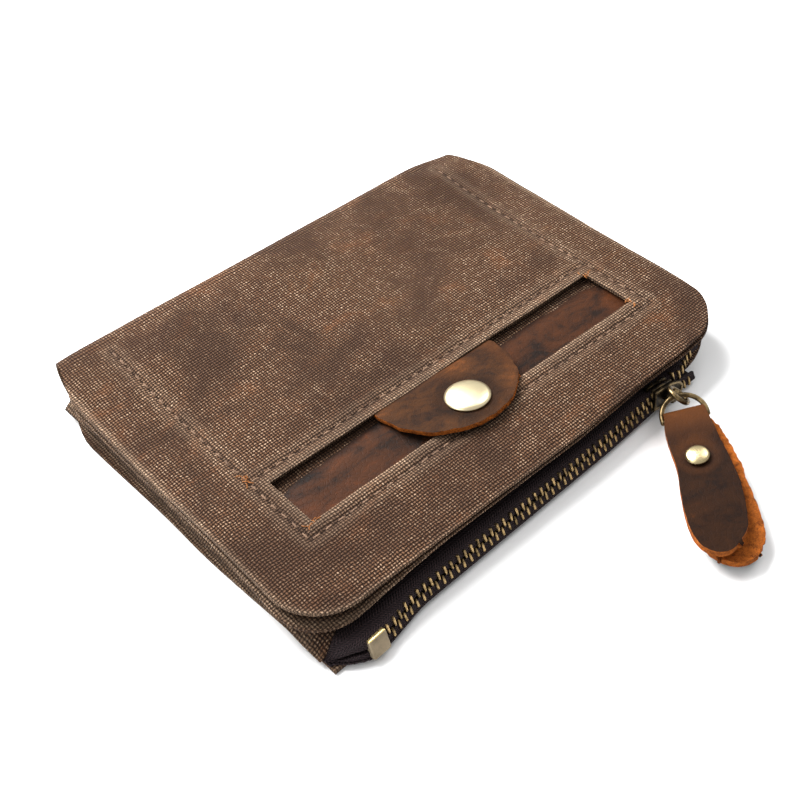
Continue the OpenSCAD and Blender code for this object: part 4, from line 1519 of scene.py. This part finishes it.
# %% [markdown]
# Threads have frayed loose at the window's corners and where the pocket's side rows begin. Each is a short bent tube,
# drawn as a curve with a few points and then made a mesh.

# %% Frayed threads
def hair(start, sway, rise, length, turn):
    """A few points of one loose thread, in millimetres."""
    path = []
    for t in np.linspace(0, 1, 7):
        a = turn + sway * t
        path.append((start[0] + length * t * math.cos(a), start[1] + length * t * math.sin(a),
                     start[2] + rise * math.sin(t * math.pi * 0.8)))
    return path


def tube(name, paths, radius):
    curve = bpy.data.curves.new(name, "CURVE")
    curve.dimensions = "3D"
    curve.bevel_depth = radius * MM
    curve.bevel_resolution = 1
    curve.use_fill_caps = True
    for path in paths:
        spline = curve.splines.new("POLY")
        spline.points.add(len(path) - 1)
        for point, spot in zip(spline.points, path):
            point.co = (*(Vector(spot) * MM), 1)
    piece = add_object(name, curve)
    select_only(piece)
    bpy.ops.object.convert(target="MESH")
    return bpy.context.object


corners = [(WINDOW[0], WINDOW[1]), (WINDOW[2], WINDOW[1]), (WINDOW[2], WINDOW[3]), (SEAM_L, SEAM_B + 1)]
paths = []
for k, (x, y) in enumerate(corners):
    for i in range(7):
        angle = 2.4 * i + k
        start = (x + 0.7 * math.cos(angle), y + 0.7 * math.sin(angle), TOP - 0.15)
        paths.append(hair(start, 1.6 * math.sin(i + k), 0.45, 1.3 + 0.5 * math.sin(i * 3.7 + k), angle * 1.7))
frayed = tube("frayed_threads", paths, 0.09)
frayed_finish = finish_of(
    "frayed_orange",
    lambda wire: {"Base Color": noise(wire, place(wire), 0.7, 3.0).mixed((0.13, 0.04, 0.012), (0.5, 0.2, 0.06))},
    Roughness=0.8, Specular_IOR_Level=0.2,
)
frayed.data.materials.append(frayed_finish)
smooth(frayed, 60)
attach(frayed, "cover")
print("frayed threads:", len(paths))

# %% [markdown]
# ## Inside the pouch
# When the cover is open, the lining cloth and two card pockets show. They keep the model's own shapes and take a
# finer, plainer cloth than the canvas: a thin dark weave with a slub thread here and there.

# %% Lining cloth
def lining_finish(wire):
    spot = place(wire)
    flat, deep = both_ways(wire, spot)
    warp = flat.math("SINE", flat * (2 * math.pi / 0.45)) * 0.5 + 0.5
    weft = deep.math("SINE", deep * (2 * math.pi / 0.45)) * 0.5 + 0.5
    slub = noise(wire, stretched(wire, spot, (0.15, 3.0, 1.0)), 1.2, 3.0, 0.6)
    patch = noise(wire, spot, 14.0, 3.0)
    tone = (warp * weft * 0.6 + slub * 0.3 + patch * 0.25).between(0.15, 0.85)
    colour = tone.mixed((0.02, 0.014, 0.011), (0.14, 0.095, 0.07))
    return {"Base Color": colour, "Normal": bump(wire, warp * weft, 0.12)}


lining_cloth = finish_of("lining_cloth", lining_finish, Roughness=0.85, Specular_IOR_Level=0.15)
give_finish(lining_cloth, "bottom_lining", "top_lining", "card_slot_back", "card_slot_front")
print("lining on the pouch and the card pockets")

# %% [markdown]
# ## Sheets of cloth
# The sizes that the outer canvas and the pouch's upper wall were cut to are worked out here. The outer canvas runs
# from the cover's front edge round the fold to the pouch's front edge.

def area_of(width, length, *holes):
    return (width * length - sum(w * d for w, d in holes)) * MM * MM


FOLD_RUN = math.pi * (FOLD_R - CANVAS / 2)
cover_run = HINGE_Y - cover_low.y
outer_w, outer_l = 2 * half + 0.5, cover_run + FOLD_RUN + HINGE_Y - bottom_low.y
window_w, window_d = WINDOW[2] - WINDOW[0], WINDOW[3] - WINDOW[1]
outer_w * MM
outer_l * MM
area_of(outer_w, outer_l, (window_w, window_d), (5 * CORNER, 2))
cover_run * MM
wall_w, wall_l = WALL_RIGHT - WALL_LEFT, HINGE_Y - ZIP_Y - 5
wall_w * MM
wall_l * MM
print("outer canvas is cut to, mm:", round(outer_w), "x", round(outer_l))
